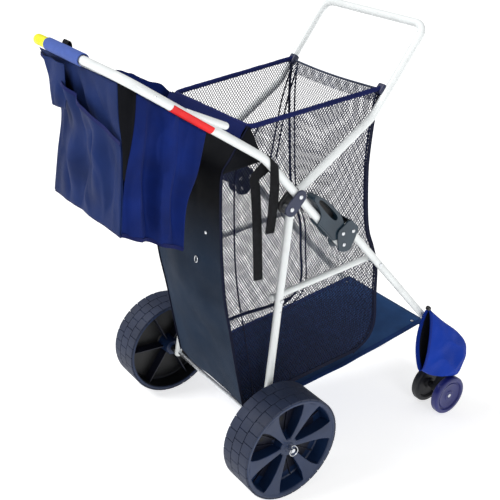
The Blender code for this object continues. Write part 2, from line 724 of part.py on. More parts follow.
# --- The whole cart -----------------------------------------------------------------------------

def build_fasteners(side, steel):
    word = side_name(side)
    rear = [(0.1746, 0.1762, 0.0060), (0.1762, 0.2164, PIN), (0.2164, 0.2180, 0.0062)]
    stepped_pin(f"brace_pin_{word}", side, BRACE_PIVOT, rear, steel, at(0.0, *BRACE_PIVOT))
    spot = on_leg(BRACE_ON_LEG, LEG_RISE)
    front = [(0.1941, 0.2160, 0.0080), (0.2160, 0.2380, PIN), (0.2380, 0.2394, 0.0055)]
    stepped_pin(f"brace_bushing_{word}", side, spot, front, steel, FOLD_PIVOT)


def clear_scene():
    for obj in list(bpy.data.objects):
        bpy.data.objects.remove(obj, do_unlink=True)


AXLE = at(0.0, 0.0, AXLE_Z)
MAIN_PIVOT = at(0.0, *PIVOT)
FOLD_PIVOT = at(0.0, *FOLD)


def main():
    clear_scene()
    white = material("white_enamel", (0.78, 0.81, 0.79), 0.35)
    steel = material("bright_steel", (0.62, 0.63, 0.64), 0.3, 1.0)
    foam = material("blue_foam", (0.08, 0.14, 0.47), 0.9)
    yellow = material("yellow_sleeve", (0.90, 0.90, 0.03), 0.5)
    red = material("red_film", (0.95, 0.02, 0.02), 0.4)
    slate = material("slate_plastic", (0.03, 0.04, 0.07), 0.5)
    teal = material("teal_plastic", (0.02, 0.04, 0.05), 0.45)
    black = material("black_plastic", (0.01, 0.01, 0.012), 0.5)
    wheel = material("wheel_plastic", (0.03, 0.035, 0.07), 0.55)
    caster = material("caster_plastic", (0.05, 0.05, 0.12), 0.5)
    mesh_cloth = material("mesh_fabric", (0.03, 0.04, 0.15), 0.9)
    navy = material("navy_fabric", (0.015, 0.03, 0.10), 0.8)
    royal = material("royal_fabric", (0.01, 0.05, 0.39), 0.8)
    webbing = material("black_webbing", (0.006, 0.006, 0.008), 0.9)

    build_hoop(white)
    build_handle(white)
    build_grip(foam, yellow)
    build_pegs(white)
    build_wrap(red)
    build_front_bar(white)
    build_axle(steel, black)
    build_rim(steel, slate)
    build_bag(mesh_cloth)
    build_base(navy)
    build_tote(navy)
    build_pouch(royal)
    for side in (1, -1):
        build_main_pivot(side, slate, black, steel)
        build_front_leg(side, white)
        build_bracket(side, teal, steel)
        build_lever(side, teal)
        build_brace(side, white)
        build_fasteners(side, steel)
        build_rear_wheel(side, wheel)
        build_socket(side, black)
        build_fork(side, black)
        build_caster_wheels(side, caster, steel)
        build_strap(side, webbing)


main()
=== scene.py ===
"""Looks of the beach cart: smooth frame tubes, moulded wheels, net bag, tote, pouch and webbing."""

import json
import math

import bmesh
import bpy
from mathutils import Matrix, Vector, noise


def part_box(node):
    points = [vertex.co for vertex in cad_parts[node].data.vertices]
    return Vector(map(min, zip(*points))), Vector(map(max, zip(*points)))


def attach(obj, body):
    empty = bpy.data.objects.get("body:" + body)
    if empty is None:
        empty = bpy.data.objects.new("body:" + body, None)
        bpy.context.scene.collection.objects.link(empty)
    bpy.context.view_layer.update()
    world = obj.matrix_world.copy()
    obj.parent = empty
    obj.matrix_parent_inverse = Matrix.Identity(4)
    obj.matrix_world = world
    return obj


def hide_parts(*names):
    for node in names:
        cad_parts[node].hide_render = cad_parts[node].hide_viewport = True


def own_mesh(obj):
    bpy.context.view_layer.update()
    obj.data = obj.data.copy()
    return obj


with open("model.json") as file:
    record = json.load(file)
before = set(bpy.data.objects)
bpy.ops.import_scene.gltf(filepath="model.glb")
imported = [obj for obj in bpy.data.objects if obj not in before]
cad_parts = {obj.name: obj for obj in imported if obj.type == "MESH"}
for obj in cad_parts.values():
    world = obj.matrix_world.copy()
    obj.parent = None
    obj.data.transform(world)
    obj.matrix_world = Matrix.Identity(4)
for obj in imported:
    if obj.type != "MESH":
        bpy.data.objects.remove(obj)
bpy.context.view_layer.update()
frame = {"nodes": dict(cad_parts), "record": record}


# --- Places read from the frame -----------------------------------------------------------------

def middle(node):
    low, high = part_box(node)
    return (Vector(low) + Vector(high)) / 2.0


def joint_point(name):
    joint = next(j for j in frame["record"]["behaviour"]["joints"] if j["name"] == name)
    return Vector(joint["pos_m"])


AXLE = middle("rear_axle")
AXLE_Y = AXLE.y
PIVOT = (joint_point("handle_fold").y - AXLE_Y, joint_point("handle_fold").z)
FOLD = (joint_point("leg_fold").y - AXLE_Y, joint_point("leg_fold").z)
SLOPE = math.atan2(FOLD[1] - PIVOT[1], FOLD[0] - PIVOT[0])
ALONG = (math.cos(SLOPE), math.sin(SLOPE))
ACROSS = (-ALONG[1], ALONG[0])
CASTER = joint_point("caster_spin_outer_right")
SWIVEL = joint_point("caster_swivel_right")
BRACE_REAR = (joint_point("brace_fold_right").y - AXLE_Y, joint_point("brace_fold_right").z)

TUBE = 0.0105
HANDLE_X = 0.227
HOOP_X = 0.194
BRACE_X = 0.185
BRACE_RADIUS = 0.0085
FRONT_BAR_RADIUS = 0.008
HANDLE_BENDS = [0.150, 0.045, 0.045, 0.150]
HOOP_BENDS = [0.060, 0.080, 0.035, 0.035, 0.080, 0.060]
HOOK_RADIUS = 0.0084
HOOK_BASE_Y = -0.318
HOOK_TIP = (-0.206, 1.005)
GRIP_RADIUS = 0.0152
SLEEVE_RADIUS = 0.0126
SLEEVE_END_RADIUS = 0.0119
GRIP_SPAN = (-0.038, 0.137)
SLEEVE_SPAN = (0.1385, 0.212)
WRAP_SPAN_Y = (-0.356, -0.250)
WRAP_THICKNESS = 0.0009
STRAP_Y = -0.073
STRAP_HALF_WIDTH = 0.0135
STRAP_HALF_THICKNESS = 0.0008
FOOT_X = 0.2205
LEG_RISE = 0.0428
LEVER_PIVOT = (-0.028, 0.018)
LEG_RIVET = (-0.004, LEG_RISE)
BRACE_ON_LEG = 0.180
FRONT_BAR = 0.596
CROSSBAR = (-0.463, 1.121)
BEND = (PIVOT[0] - 0.155 * ALONG[0], PIVOT[1] - 0.155 * ALONG[1])
STOP = (-0.008, 0.786)
HOOP_BEND = (0.2622, 0.979)
HOOP_TOP = (0.405, 1.207)
RIM_FRONT = (0.291, 1.0500)
RIM_REAR = (-0.102, 0.978)
NET_PITCH = 0.0086
NET_THREAD = 0.00116
OUT = Vector((1.0, 0.0, 0.0))


def at(x, y, z):
    """A point whose y is counted from the rear axle."""
    return Vector((x, y + AXLE_Y, z))


def on_leg(along, across):
    """(y, z) of a point along and across the slope of the handle tube, from the fold pivot."""
    return (
        FOLD[0] + along * ALONG[0] + across * ACROSS[0],
        FOLD[1] + along * ALONG[1] + across * ACROSS[1],
    )


def word(side):
    return "right" if side > 0 else "left"


# --- Materials ----------------------------------------------------------------------------------

def srgb(red, green, blue):
    """A linear colour from 8-bit screen values."""
    def linear(value):
        value /= 255.0
        return value / 12.92 if value <= 0.04045 else ((value + 0.055) / 1.055) ** 2.4

    return (linear(red), linear(green), linear(blue), 1.0)


class Nodes:
    """A material's node tree, with a short way to add and link nodes."""

    def __init__(self, name, roughness, metallic=0.0, sheen=0.0, coat=0.0, specular=0.5):
        self.material = bpy.data.materials.new(name)
        self.material.use_nodes = True
        self.tree = self.material.node_tree
        self.shader = self.tree.nodes["Principled BSDF"]
        self.shader.inputs["Roughness"].default_value = roughness
        self.shader.inputs["Metallic"].default_value = metallic
        self.shader.inputs["Sheen Weight"].default_value = sheen
        self.shader.inputs["Coat Weight"].default_value = coat
        self.shader.inputs["Specular IOR Level"].default_value = specular
        self.place = self.add("ShaderNodeTexCoord").outputs["Object"]

    def add(self, kind, **settings):
        node = self.tree.nodes.new(kind)
        for key, value in settings.items():
            setattr(node, key, value)
        return node

    def link(self, output, socket):
        self.tree.links.new(output, socket)

    def noise(self, scale, detail=3.0):
        node = self.add("ShaderNodeTexNoise")
        node.inputs["Scale"].default_value = scale
        node.inputs["Detail"].default_value = detail
        self.link(self.place, node.inputs["Vector"])
        return node.outputs["Fac"]

    def math(self, operation, first, second=None):
        node = self.add("ShaderNodeMath", operation=operation)
        for socket, value in zip(node.inputs, (first, second)):
            if isinstance(value, (int, float)):
                socket.default_value = value
            elif value is not None:
                self.link(value, socket)
        return node.outputs[0]

    def ramp(self, factor, stops):
        node = self.add("ShaderNodeValToRGB")
        elements = node.color_ramp.elements
        while len(elements) < len(stops):
            elements.new(0.5)
        for element, (spot, colour) in zip(elements, stops):
            element.position = spot
            element.color = colour
        self.link(factor, node.inputs["Fac"])
        return node.outputs["Color"]

    def patches(self, colour, dark, light, scale, detail=3.0, low=0.3, high=0.7):
        """Tints the surface in soft patches, between a darker and a lighter tone of one colour."""
        stops = [(low, shade(colour, dark)), (high, shade(colour, light))]
        self.colour(self.ramp(self.noise(scale, detail), stops))

    def colour(self, output):
        self.link(output, self.shader.inputs["Base Color"])

    def bump(self, height, strength, distance):
        node = self.add("ShaderNodeBump")
        node.inputs["Strength"].default_value = strength
        node.inputs["Distance"].default_value = distance
        self.link(height, node.inputs["Height"])
        self.link(node.outputs["Normal"], self.shader.inputs["Normal"])

    def roughness(self, factor, low, high):
        node = self.add("ShaderNodeMapRange")
        node.inputs["To Min"].default_value = low
        node.inputs["To Max"].default_value = high
        self.link(factor, node.inputs["Value"])
        self.link(node.outputs["Result"], self.shader.inputs["Roughness"])

    def axes(self):
        node = self.add("ShaderNodeSeparateXYZ")
        self.link(self.place, node.inputs["Vector"])
        return node.outputs


def shade(colour, factor):
    return (*(min(1.0, c * factor) for c in colour[:3]), 1.0)


def plastic(name, colour, roughness=0.45, bump=0.12, coat=0.0):
    """Moulded plastic: a fine grain, and slow changes of tone and gloss."""
    nodes = Nodes(name, roughness, coat=coat)
    nodes.patches(colour, 0.82, 1.18, 14.0, 4.0)
    nodes.roughness(nodes.noise(40.0), roughness - 0.08, roughness + 0.10)
    nodes.bump(nodes.noise(700.0, 2.0), bump, 0.0004)
    return nodes.material


def enamel(name, colour):
    """Glossy paint on steel tube, with faint orange peel and a few greyer rubs."""
    nodes = Nodes(name, 0.32, coat=0.15, specular=0.4)
    nodes.patches(colour, 0.90, 1.0, 22.0, 6.0, low=0.25, high=0.45)
    nodes.roughness(nodes.noise(60.0), 0.26, 0.42)
    nodes.bump(nodes.noise(260.0, 2.0), 0.05, 0.0003)
    return nodes.material


def metal(name, colour):
    nodes = Nodes(name, 0.28, metallic=1.0)
    nodes.patches(colour, 0.8, 1.0, 90.0)
    nodes.roughness(nodes.noise(200.0), 0.20, 0.42)
    nodes.bump(nodes.noise(900.0), 0.06, 0.0002)
    return nodes.material


def foam(name, colour):
    nodes = Nodes(name, 0.85, sheen=0.05, specular=0.2)
    nodes.patches(colour, 0.88, 1.0, 60.0, 5.0)
    cells = nodes.add("ShaderNodeTexVoronoi")
    cells.inputs["Scale"].default_value = 900.0
    nodes.link(nodes.place, cells.inputs["Vector"])
    nodes.bump(cells.outputs["Distance"], 0.35, 0.0005)
    return nodes.material


def thread_height(nodes, first, second, pitch):
    """A plain weave's height: two sets of ribs that cross."""
    waves = []
    for axis in (first, second):
        turn = nodes.math("MULTIPLY", axis, 2.0 * math.pi / pitch)
        waves.append(nodes.math("SINE", turn))
    return nodes.math("MULTIPLY", waves[0], waves[1])


def woven(name, colour, light=1.35, dark=0.62, roughness=0.72, top_shade=None):
    """Coated woven cloth: creases of tone, a fine weave and, when asked, painted shade that darkens
    the tone upwards in z.
    """
    nodes = Nodes(name, roughness, sheen=0.02, specular=0.12)
    creases = nodes.noise(9.0, 6.0)
    tone = nodes.ramp(creases, [(0.30, shade(colour, dark)), (0.72, shade(colour, light))])
    axes = nodes.axes()
    # Painted shade: over the given z range the tone turns to a near-black shade colour.
    if top_shade:
        low, high, shade_colour = top_shade
        span = nodes.add("ShaderNodeMapRange")
        span.inputs["From Min"].default_value = low
        span.inputs["From Max"].default_value = high
        nodes.link(axes["Z"], span.inputs["Value"])
        mix = nodes.add("ShaderNodeMix", data_type="RGBA")
        nodes.link(span.outputs["Result"], mix.inputs["Factor"])
        nodes.link(tone, mix.inputs[6])
        mix.inputs[7].default_value = shade_colour
        tone = mix.outputs[2]
    nodes.colour(tone)
    slanted = nodes.math("ADD", axes["X"], axes["Y"])
    weave = thread_height(nodes, slanted, axes["Z"], 0.0016)
    wrinkle = nodes.math("MULTIPLY", nodes.noise(55.0, 5.0), 3.0)
    nodes.bump(nodes.math("ADD", weave, wrinkle), 0.22, 0.0005)
    nodes.roughness(nodes.noise(25.0), roughness - 0.12, roughness + 0.12)
    return nodes.material


def net(name, colour, across, pitch, thread):
    """Open diamond net: threads where two slanted line sets pass, clear between them."""
    nodes = Nodes(name, 0.75, specular=0.2)
    axes = nodes.axes()
    drift = nodes.math("MULTIPLY", nodes.noise(6.0, 1.0), pitch * 2.0)
    sideways = nodes.math("ADD", axes[across[0]], drift)
    upward = axes[across[1]]
    lines = []
    for operation in ("ADD", "SUBTRACT"):
        slant = nodes.math(operation, sideways, nodes.math("MULTIPLY", upward, 0.75))
        wave = nodes.math("PINGPONG", slant, pitch / 2.0)
        lines.append(nodes.math("LESS_THAN", wave, thread))
    nodes.link(nodes.math("MAXIMUM", *lines), nodes.shader.inputs["Alpha"])
    nodes.patches(colour, 0.6, 1.5, 60.0)
    return nodes.material


def webbing(name, colour):
    """Woven tape with short ribs across it."""
    nodes = Nodes(name, 0.8, sheen=0.03, specular=0.15)
    axes = nodes.axes()
    nodes.patches(colour, 0.7, 1.7, 70.0)
    ribs = nodes.math("SINE", nodes.math("MULTIPLY", axes["Z"], 2.0 * math.pi / 0.0022))
    nodes.bump(ribs, 0.5, 0.0004)
    return nodes.material


WHITE = enamel("white_enamel", srgb(230, 234, 234))
STEEL = metal("bright_steel", srgb(225, 228, 232))
FOAM = foam("blue_foam", srgb(74, 98, 172))
YELLOW = plastic("yellow_sleeve", srgb(245, 238, 30), 0.5)
RED = plastic("red_film", srgb(226, 0, 4), 0.5)
SLATE = plastic("slate_plastic", srgb(36, 43, 70), 0.42)
NAVY_CAP = plastic("navy_cap_plastic", srgb(20, 28, 64), 0.5)
TEAL = plastic("teal_plastic", srgb(26, 46, 60), 0.36, coat=0.15)
BLACK = plastic("black_plastic", srgb(12, 13, 16), 0.45)
TYRE = plastic("wheel_plastic", srgb(8, 34, 70), 0.44, bump=0.2)
TREAD = plastic("wheel_tread_plastic", srgb(10, 26, 54), 0.60, bump=0.2)
# Painted shade: a dark tone for the wheel's recesses and the ribs in them.
RECESS_SHADE = plastic("wheel_recess_painted_shade", srgb(9, 14, 34), 0.5)
CASTER_FINISH = plastic("caster_plastic", srgb(24, 30, 104), 0.36)
DARK_CASTER = plastic("caster_fork_plastic", srgb(12, 13, 20), 0.5)
NAVY = woven("navy_cloth", srgb(19, 38, 86), 1.25, 0.70)
ROYAL = woven("royal_cloth", srgb(5, 30, 96), 1.3, 0.65)
BAND_CLOTH = woven("band_cloth", srgb(8, 22, 76), 1.2, 0.7)
# Near-black cloth, also used as painted shade for the tote's corner gap and the pouch's inside.
DARK_CLOTH_AND_SHADE = woven("dark_cloth_and_painted_shade", srgb(8, 10, 17), 1.2, 0.8)
POUCH_CLOTH = woven("pouch_cloth", srgb(4, 52, 158), 1.15, 0.80)
POUCH_HEM = woven("pouch_hem", srgb(5, 42, 136), 1.2, 0.75)
BASE_CLOTH = woven("base_cloth", srgb(38, 70, 116), 1.2, 0.7)
BASE_HEM = woven("base_hem_cloth", srgb(24, 52, 104), 1.2, 0.75)
# Painted shade: the rear panel's tone turns near black towards its top, where it lies in shade.
REAR_CLOTH_WITH_SHADE = woven(
    "rear_cloth_with_painted_shade", srgb(24, 40, 60), 1.15, 0.82, roughness=0.78, top_shade=(0.62, 0.80, srgb(8, 10, 15))
)
PIPING = woven("navy_piping", srgb(19, 28, 82), 1.2, 0.7)
TAPE = woven("bag_tape", srgb(14, 19, 42), 1.2, 0.8)
GREY_HEM = woven("grey_hem", srgb(78, 86, 104), 1.2, 0.8)
NET_COLOUR = srgb(17, 23, 50)
NET_SIDE = net("net_side", NET_COLOUR, ("Y", "Z"), NET_PITCH, NET_THREAD)
NET_FRONT = net("net_front", NET_COLOUR, ("X", "Z"), NET_PITCH, NET_THREAD)
NET_BOTTOM = net("net_bottom", NET_COLOUR, ("X", "Y"), NET_PITCH, NET_THREAD)
NET_HEM = net("net_hem", srgb(60, 66, 84), ("X", "Z"), NET_PITCH * 0.8, NET_THREAD)
BELT = webbing("black_webbing", srgb(14, 15, 18))


# --- Shape helpers ------------------------------------------------------------------------------

def new_object(name, bm):
    """An object in the scene that takes over the mesh."""
    mesh = bpy.data.meshes.new(name)
    bm.to_mesh(mesh)
    bm.free()
    obj = bpy.data.objects.new(name, mesh)
    bpy.context.scene.collection.objects.link(obj)
    return obj


def piece(name, bm, finish, body, slot, *nodes, angle=35.0):
    """Makes an object of the mesh, smooth, riding on a body and standing for CAD nodes."""
    bmesh.ops.recalc_face_normals(bm, faces=bm.faces)
    obj = new_object(name, bm)
    mesh = obj.data
    mesh.shade_smooth()
    mesh.set_sharp_from_angle(angle=math.radians(angle))
    mesh.materials.append(finish)
    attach(obj, body)
    if nodes:
        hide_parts(*nodes)
    return obj


def soften(obj, width, segments=3, angle=30.0):
    """Rounds an object's hard edges."""
    bevel = obj.modifiers.new("edge_round", "BEVEL")
    bevel.width = width
    bevel.segments = segments
    bevel.limit_method = "ANGLE"
    bevel.angle_limit = math.radians(angle)
    bevel.harden_normals = False
    return obj


def thicken(obj, amount):
    """Gives a sheet its real thickness."""
    solid = obj.modifiers.new("cloth_thickness", "SOLIDIFY")
    solid.thickness = amount
    solid.offset = 0.0
    return obj


ARC_STEP = math.radians(6.0)


def rounded(points, radii):
    """The path through the points with each inner corner rounded to an arc."""
    path = [points[0]]
    for before, corner, after, radius in zip(points, points[1:], points[2:], radii):
        entry = (corner - before).normalized()
        leave = (after - corner).normalized()
        turn = entry.angle(leave)
        setback = radius * math.tan(turn / 2.0)
        start = corner - entry * setback
        centre = corner + (leave - entry).normalized() * radius / math.cos(turn / 2.0)
        axis = entry.cross(leave).normalized()
        count = max(2, math.ceil(turn / ARC_STEP))
        for k in range(count + 1):
            spin = Matrix.Rotation(turn * k / count, 3, axis)
            path.append(centre + spin @ (start - centre))
    path.append(points[-1])
    return path


def smooth_run(points, steps):
    """Points on a smooth curve through the given ones, without its first and last span."""
    fine = []
    for a, b, c, d in zip(points, points[1:], points[2:], points[3:]):
        for k in range(steps):
            t = k / steps
            fine.append(
                0.5 * (2 * b + (c - a) * t + (2 * a - 5 * b + 4 * c - d) * t * t
                       + (3 * b - a - 3 * c + d) * t ** 3)
            )
    return fine


def spline(points, count):
    """count + 1 points on a smooth curve through the given ones, at even steps of length."""
    points = [Vector(p) for p in points]
    ends = [points[0] * 2 - points[1], *points, points[-1] * 2 - points[-2]]
    return even([*smooth_run(ends, 12), points[-1]], count)


def even(path, count):
    """The path resampled to count + 1 points at even steps of length."""
    run = [0.0]
    for a, b in zip(path, path[1:]):
        run.append(run[-1] + (b - a).length)
    made = []
    k = 0
    for n in range(count + 1):
        want = run[-1] * n / count
        while k < len(path) - 2 and run[k + 1] < want:
            k += 1
        span = run[k + 1] - run[k]
        made.append(path[k].lerp(path[k + 1], (want - run[k]) / span if span else 0.0))
    return made


def stretch(path, start, end):
    """The part of a path between two lengths along it."""
    kept = []
    run = 0.0
    for a, b in zip(path, path[1:]):
        length = (b - a).length
        for cut in (start, end):
            if run <= cut <= run + length:
                kept.append((cut, a.lerp(b, (cut - run) / length)))
        if start < run + length < end:
            kept.append((run + length, b))
        run += length
    kept.sort(key=lambda item: item[0])
    return [point for _, point in kept]


def fractions(count):
    return [k / count for k in range(count + 1)]


def path_length(path):
    return sum((b - a).length for a, b in zip(path, path[1:]))


def heading(path, k):
    """The direction of a path at one of its points, not of unit length."""
    return path[min(k + 1, len(path) - 1)] - path[max(k - 1, 0)]


def ring_frames(path, start=None):
    """A sideways and an upward unit vector at each point of a path, carried along without twist."""
    frames = []
    side = start
    for k in range(len(path)):
        ahead = heading(path, k).normalized()
        if side is None:
            side = ahead.orthogonal().normalized()
        side = (side - ahead * side.dot(ahead)).normalized()
        frames.append((side, ahead.cross(side)))
    return frames


def skin(bm, loops, closed=True, caps=True):
    """Joins loops of one count with faces, and closes the first and the last of them."""
    count = len(loops[0])
    for loop_a, loop_b in zip(loops, loops[1:]):
        for k in range(count if closed else count - 1):
            j = (k + 1) % count
            bm.faces.new((loop_a[k], loop_a[j], loop_b[j], loop_b[k]))
    if closed and caps:
        bm.faces.new(loops[0])
        bm.faces.new(loops[-1])
    return bm


def section_sweep(path, section, start=None, caps=True):
    """Carries a section of (sideways, upward) points along a path."""
    bm = bmesh.new()
    loops = []
    for point, (side, up) in zip(path, ring_frames(path, start)):
        loops.append([bm.verts.new(point + side * a + up * b) for a, b in section])
    return skin(bm, loops, caps=caps)


def circle(radius, sides=28):
    turns = [2.0 * math.pi * k / sides for k in range(sides)]
    return [(radius * math.cos(t), radius * math.sin(t)) for t in turns]


def bar(path, sizes, sides=28):
    """A closed round bar with a radius of its own at each point of its path."""
    bm = bmesh.new()
    loops = []
    for point, size, (side, up) in zip(path, sizes, ring_frames(path)):
        loops.append([bm.verts.new(point + side * a + up * b) for a, b in circle(size, sides)])
    return skin(bm, loops)


def tube(path, radius, sides=28):
    """A round bar with softly rounded ends."""
    lip = radius * 0.18
    first = (path[1] - path[0]).normalized()
    last = (path[-1] - path[-2]).normalized()
    inner = [path[0], path[0] + first * lip, *path[1:-1], path[-1] - last * lip, path[-1]]
    sizes = [radius - lip, *[radius] * (len(inner) - 2), radius - lip]
    return bar(inner, sizes, sides)


def turned(profile, centre, segments=64, closed=False):
    """A solid turned about a line along X: the profile's points are (x, radius)."""
    bm = bmesh.new()
    rings = []
    for x, radius in profile:
        spot = Vector((x, centre.y, centre.z))
        if radius > 0.0:
            loop = [bm.verts.new(spot + Vector((0.0, a, b))) for a, b in circle(radius, segments)]
            rings.append(loop)
        else:
            rings.append([bm.verts.new(spot)])
    pairs = list(zip(rings, rings[1:]))
    if closed:
        pairs.append((rings[-1], rings[0]))
    for ring_a, ring_b in pairs:
        if len(ring_a) == 1 or len(ring_b) == 1:
            tip, edge = (ring_a[0], ring_b) if len(ring_a) == 1 else (ring_b[0], ring_a)
            for k in range(segments):
                bm.faces.new((tip, edge[k], edge[(k + 1) % segments]))
        else:
            skin(bm, [ring_a, ring_b], caps=False)
    return bm


def prism(outline, x0, x1):
    """A plate between two X planes, with a side outline of (y, z) points."""
    bm = bmesh.new()
    near = [bm.verts.new(at(x0, y, z)) for y, z in outline]
    far = [bm.verts.new(at(x1, y, z)) for y, z in outline]
    return skin(bm, [near, far])


def side_plate(side, outline, planes):
    """A plate on one side of the cart, between two distances from the centre plane."""
    return prism(outline, side * planes[0], side * planes[1])


def hull_outline(circles):
    """The convex outline round a few circles, each (y, z, radius)."""
    points = []
    for y, z, radius in circles:
        points += [(y + a, z + b) for a, b in circle(radius, 48)]
    points.sort()

    def half(run):
        kept = []
        for p in run:
            while len(kept) > 1:
                (ay, az), (by, bz) = kept[-2:]
                if (by - ay) * (p[1] - az) - (bz - az) * (p[0] - ay) > 0.0:
                    break
                kept.pop()
            kept.append(p)
        return kept[:-1]

    return half(points) + half(points[::-1])


def smooth_outline(points, count=72):
    """A closed smooth outline through a few (y, z) points."""
    loop = [Vector((y, z, 0.0)) for y, z in points]
    fine = smooth_run(loop[-2:] + loop + loop[:2], 10)
    start = fine[10:10 * (len(points) + 1) + 1]
    return [(p.x, p.y) for p in even(start, count)[:-1]]


def carve(obj, bm, label):
    """Cuts a solid out of an object and leaves no cutter behind."""
    bmesh.ops.recalc_face_normals(bm, faces=bm.faces)
    cutter = new_object(label, bm)
    mesh = cutter.data
    cut = obj.modifiers.new(label, "BOOLEAN")
    cut.operation = "DIFFERENCE"
    cut.object = cutter
    graph = bpy.context.evaluated_depsgraph_get()
    made = bpy.data.meshes.new_from_object(obj.evaluated_get(graph))
    obj.modifiers.clear()
    old = obj.data
    obj.data = made
    bpy.data.meshes.remove(old)
    bpy.data.objects.remove(cutter)
    bpy.data.meshes.remove(mesh)


def grid(point, across, down):
    """A sheet whose points come from a function of two fractions."""
    bm = bmesh.new()
    rows = []
    for v in range(down + 1):
        rows.append([bm.verts.new(point(u / across, v / down)) for u in range(across + 1)])
    return skin(bm, rows, closed=False)


def ripple(point, scale, amount, seed=0.0):
    """A smooth random offset for a point of a cloth."""
    return amount * noise.noise(point * scale + Vector((seed, seed * 1.7, seed * 0.3)))


def crease(point, scale, amount, seed=0.0):
    """A sharp-ridged random offset, like the folds of stiff cloth."""
    wave = abs(noise.noise(point * scale + Vector((seed, seed * 0.7, seed * 1.3))))
    return amount * (0.25 - wave)


def strip(path, normal, width, thickness):
    """A flat tape along a path, its face turned to the normal."""
    bm = bmesh.new()
    loops = []
    lift = normal.normalized() * thickness / 2.0
    for k, point in enumerate(path):
        sideways = heading(path, k).cross(normal).normalized() * width / 2.0
        corners = (sideways + lift, -sideways + lift, -sideways - lift, sideways - lift)
        loops.append([bm.verts.new(point + c) for c in corners])
    return skin(bm, loops)


# --- Frame --------------------------------------------------------------------------------------

def mirrored(points):
    return points + [Vector((-p.x, p.y, p.z)) for p in reversed(points)]


def handle_path():
    right = [at(HANDLE_X, *on_leg(0.012, 0.0)), at(HANDLE_X, *BEND), at(HANDLE_X, *CROSSBAR)]
    return rounded(mirrored(right), HANDLE_BENDS)


def build_tubes():
    """The hoop, the handle, the front bar, the front legs, and each side's brace and hook."""
    hoop = [
        at(FOOT_X, -0.0005, 0.138), at(HOOP_X, 0.029, 0.797),
        at(HOOP_X, *HOOP_BEND), at(HOOP_X, *HOOP_TOP),
    ]
    path = rounded(mirrored(hoop), HOOP_BENDS)
    piece("hoop_tube", tube(path, TUBE), WHITE, "rear_frame", "white_enamel", "hoop_frame")
    handle = tube(handle_path(), TUBE)
    piece("handle_tube", handle, WHITE, "push_handle", "white_enamel", "push_handle")
    bar_end = HANDLE_X - TUBE + 0.002
    spot = on_leg(FRONT_BAR, LEG_RISE)
    front_bar = tube([at(-bar_end, *spot), at(bar_end, *spot)], FRONT_BAR_RADIUS)
    piece("front_bar_tube", front_bar, WHITE, "front_leg", "white_enamel", "front_cross_bar")
    for side in (1, -1):
        leg = [at(side * HANDLE_X, *on_leg(a, LEG_RISE)) for a in (-0.018, 0.690)]
        name = f"front_leg_{word(side)}"
        piece(f"{name}_tube", tube(leg, TUBE), WHITE, "front_leg", "white_enamel", name)
        build_brace(side)
        build_hook(side)


def build_brace(side):
    rear = Vector((0.0, *BRACE_REAR))
    front = Vector((0.0, *on_leg(BRACE_ON_LEG, LEG_RISE)))
    ahead = (front - rear).normalized()
    ends = [rear - ahead * 0.013, front + ahead * 0.013]
    path = [at(side * BRACE_X, end.y, end.z) for end in ends]
    name = f"brace_{word(side)}"
    piece(f"{name}_tube", tube(path, BRACE_RADIUS), WHITE, name, "white_enamel", name)


def upper_handle(y):
    """The z of the handle tube's axis over its straight upper stretch."""
    return CROSSBAR[1] + (BEND[1] - CROSSBAR[1]) * (y - CROSSBAR[0]) / (BEND[0] - CROSSBAR[0])


def build_hook(side):
    """A chair hook: a bent-off rod with a domed end."""
    x = side * HANDLE_X
    base = at(x, HOOK_BASE_Y, upper_handle(HOOK_BASE_Y) + 0.004)
    tip = at(x, *HOOK_TIP)
    ahead = (tip - base).normalized()
    bm = bmesh.new()
    loops = []
    steps = [(0.0, 1.0)] + [(math.sin(t), math.cos(t)) for t in (0.3, 0.6, 0.9, 1.2, 1.45)]
    path = [(base, 1.0)] + [(tip + ahead * HOOK_RADIUS * (a - 1.0), b) for a, b in steps]
    up = OUT.cross(ahead)
    for point, size in path:
        ring = [point + OUT * a * size + up * b * size for a, b in circle(HOOK_RADIUS)]
        loops.append([bm.verts.new(p) for p in ring])
    skin(bm, loops)
    name = f"chair_hook_{word(side)}"
    piece(f"{name}_rod", bm, WHITE, "push_handle", "white_enamel", name)


def build_grip():
    """Foam grip with its slit, the end sleeve, the red wrap and a loop of webbing."""
    path = even(handle_path(), 400)
    half = path_length(path) / 2.0
    section = []
    slit = math.radians(14.0)
    for radius, order in ((GRIP_RADIUS, range(33)), (TUBE + 0.0022, range(32, -1, -1))):
        for k in order:
            turn = -math.pi / 2 + slit + (2.0 * math.pi - 2.0 * slit) * k / 32.0
            section.append((radius * math.cos(turn), radius * math.sin(turn)))
    middle_part = even(stretch(path, half + GRIP_SPAN[0], half + GRIP_SPAN[1]), 40)
    foam_tube = section_sweep(middle_part, section, Vector((0.0, -1.0, 0.0)))
    grip = piece("foam_grip_sleeve", foam_tube, FOAM, "push_handle", "blue_foam", "foam_grip")
    soften(grip, 0.0012, 2, 50.0)
    sizes = []
    for k in range(37):
        size = SLEEVE_RADIUS if 0 < k < 36 else SLEEVE_END_RADIUS
        sizes.append(size + 0.0003 * math.sin(k * 1.3))
    sleeve_path = even(stretch(path, half + SLEEVE_SPAN[0], half + SLEEVE_SPAN[1]), 36)
    sleeve = bar(sleeve_path, sizes)
    piece("end_sleeve", sleeve, YELLOW, "push_handle", "yellow_sleeve", "grip_end_sleeve")
    build_wrap()
    build_bar_loop()


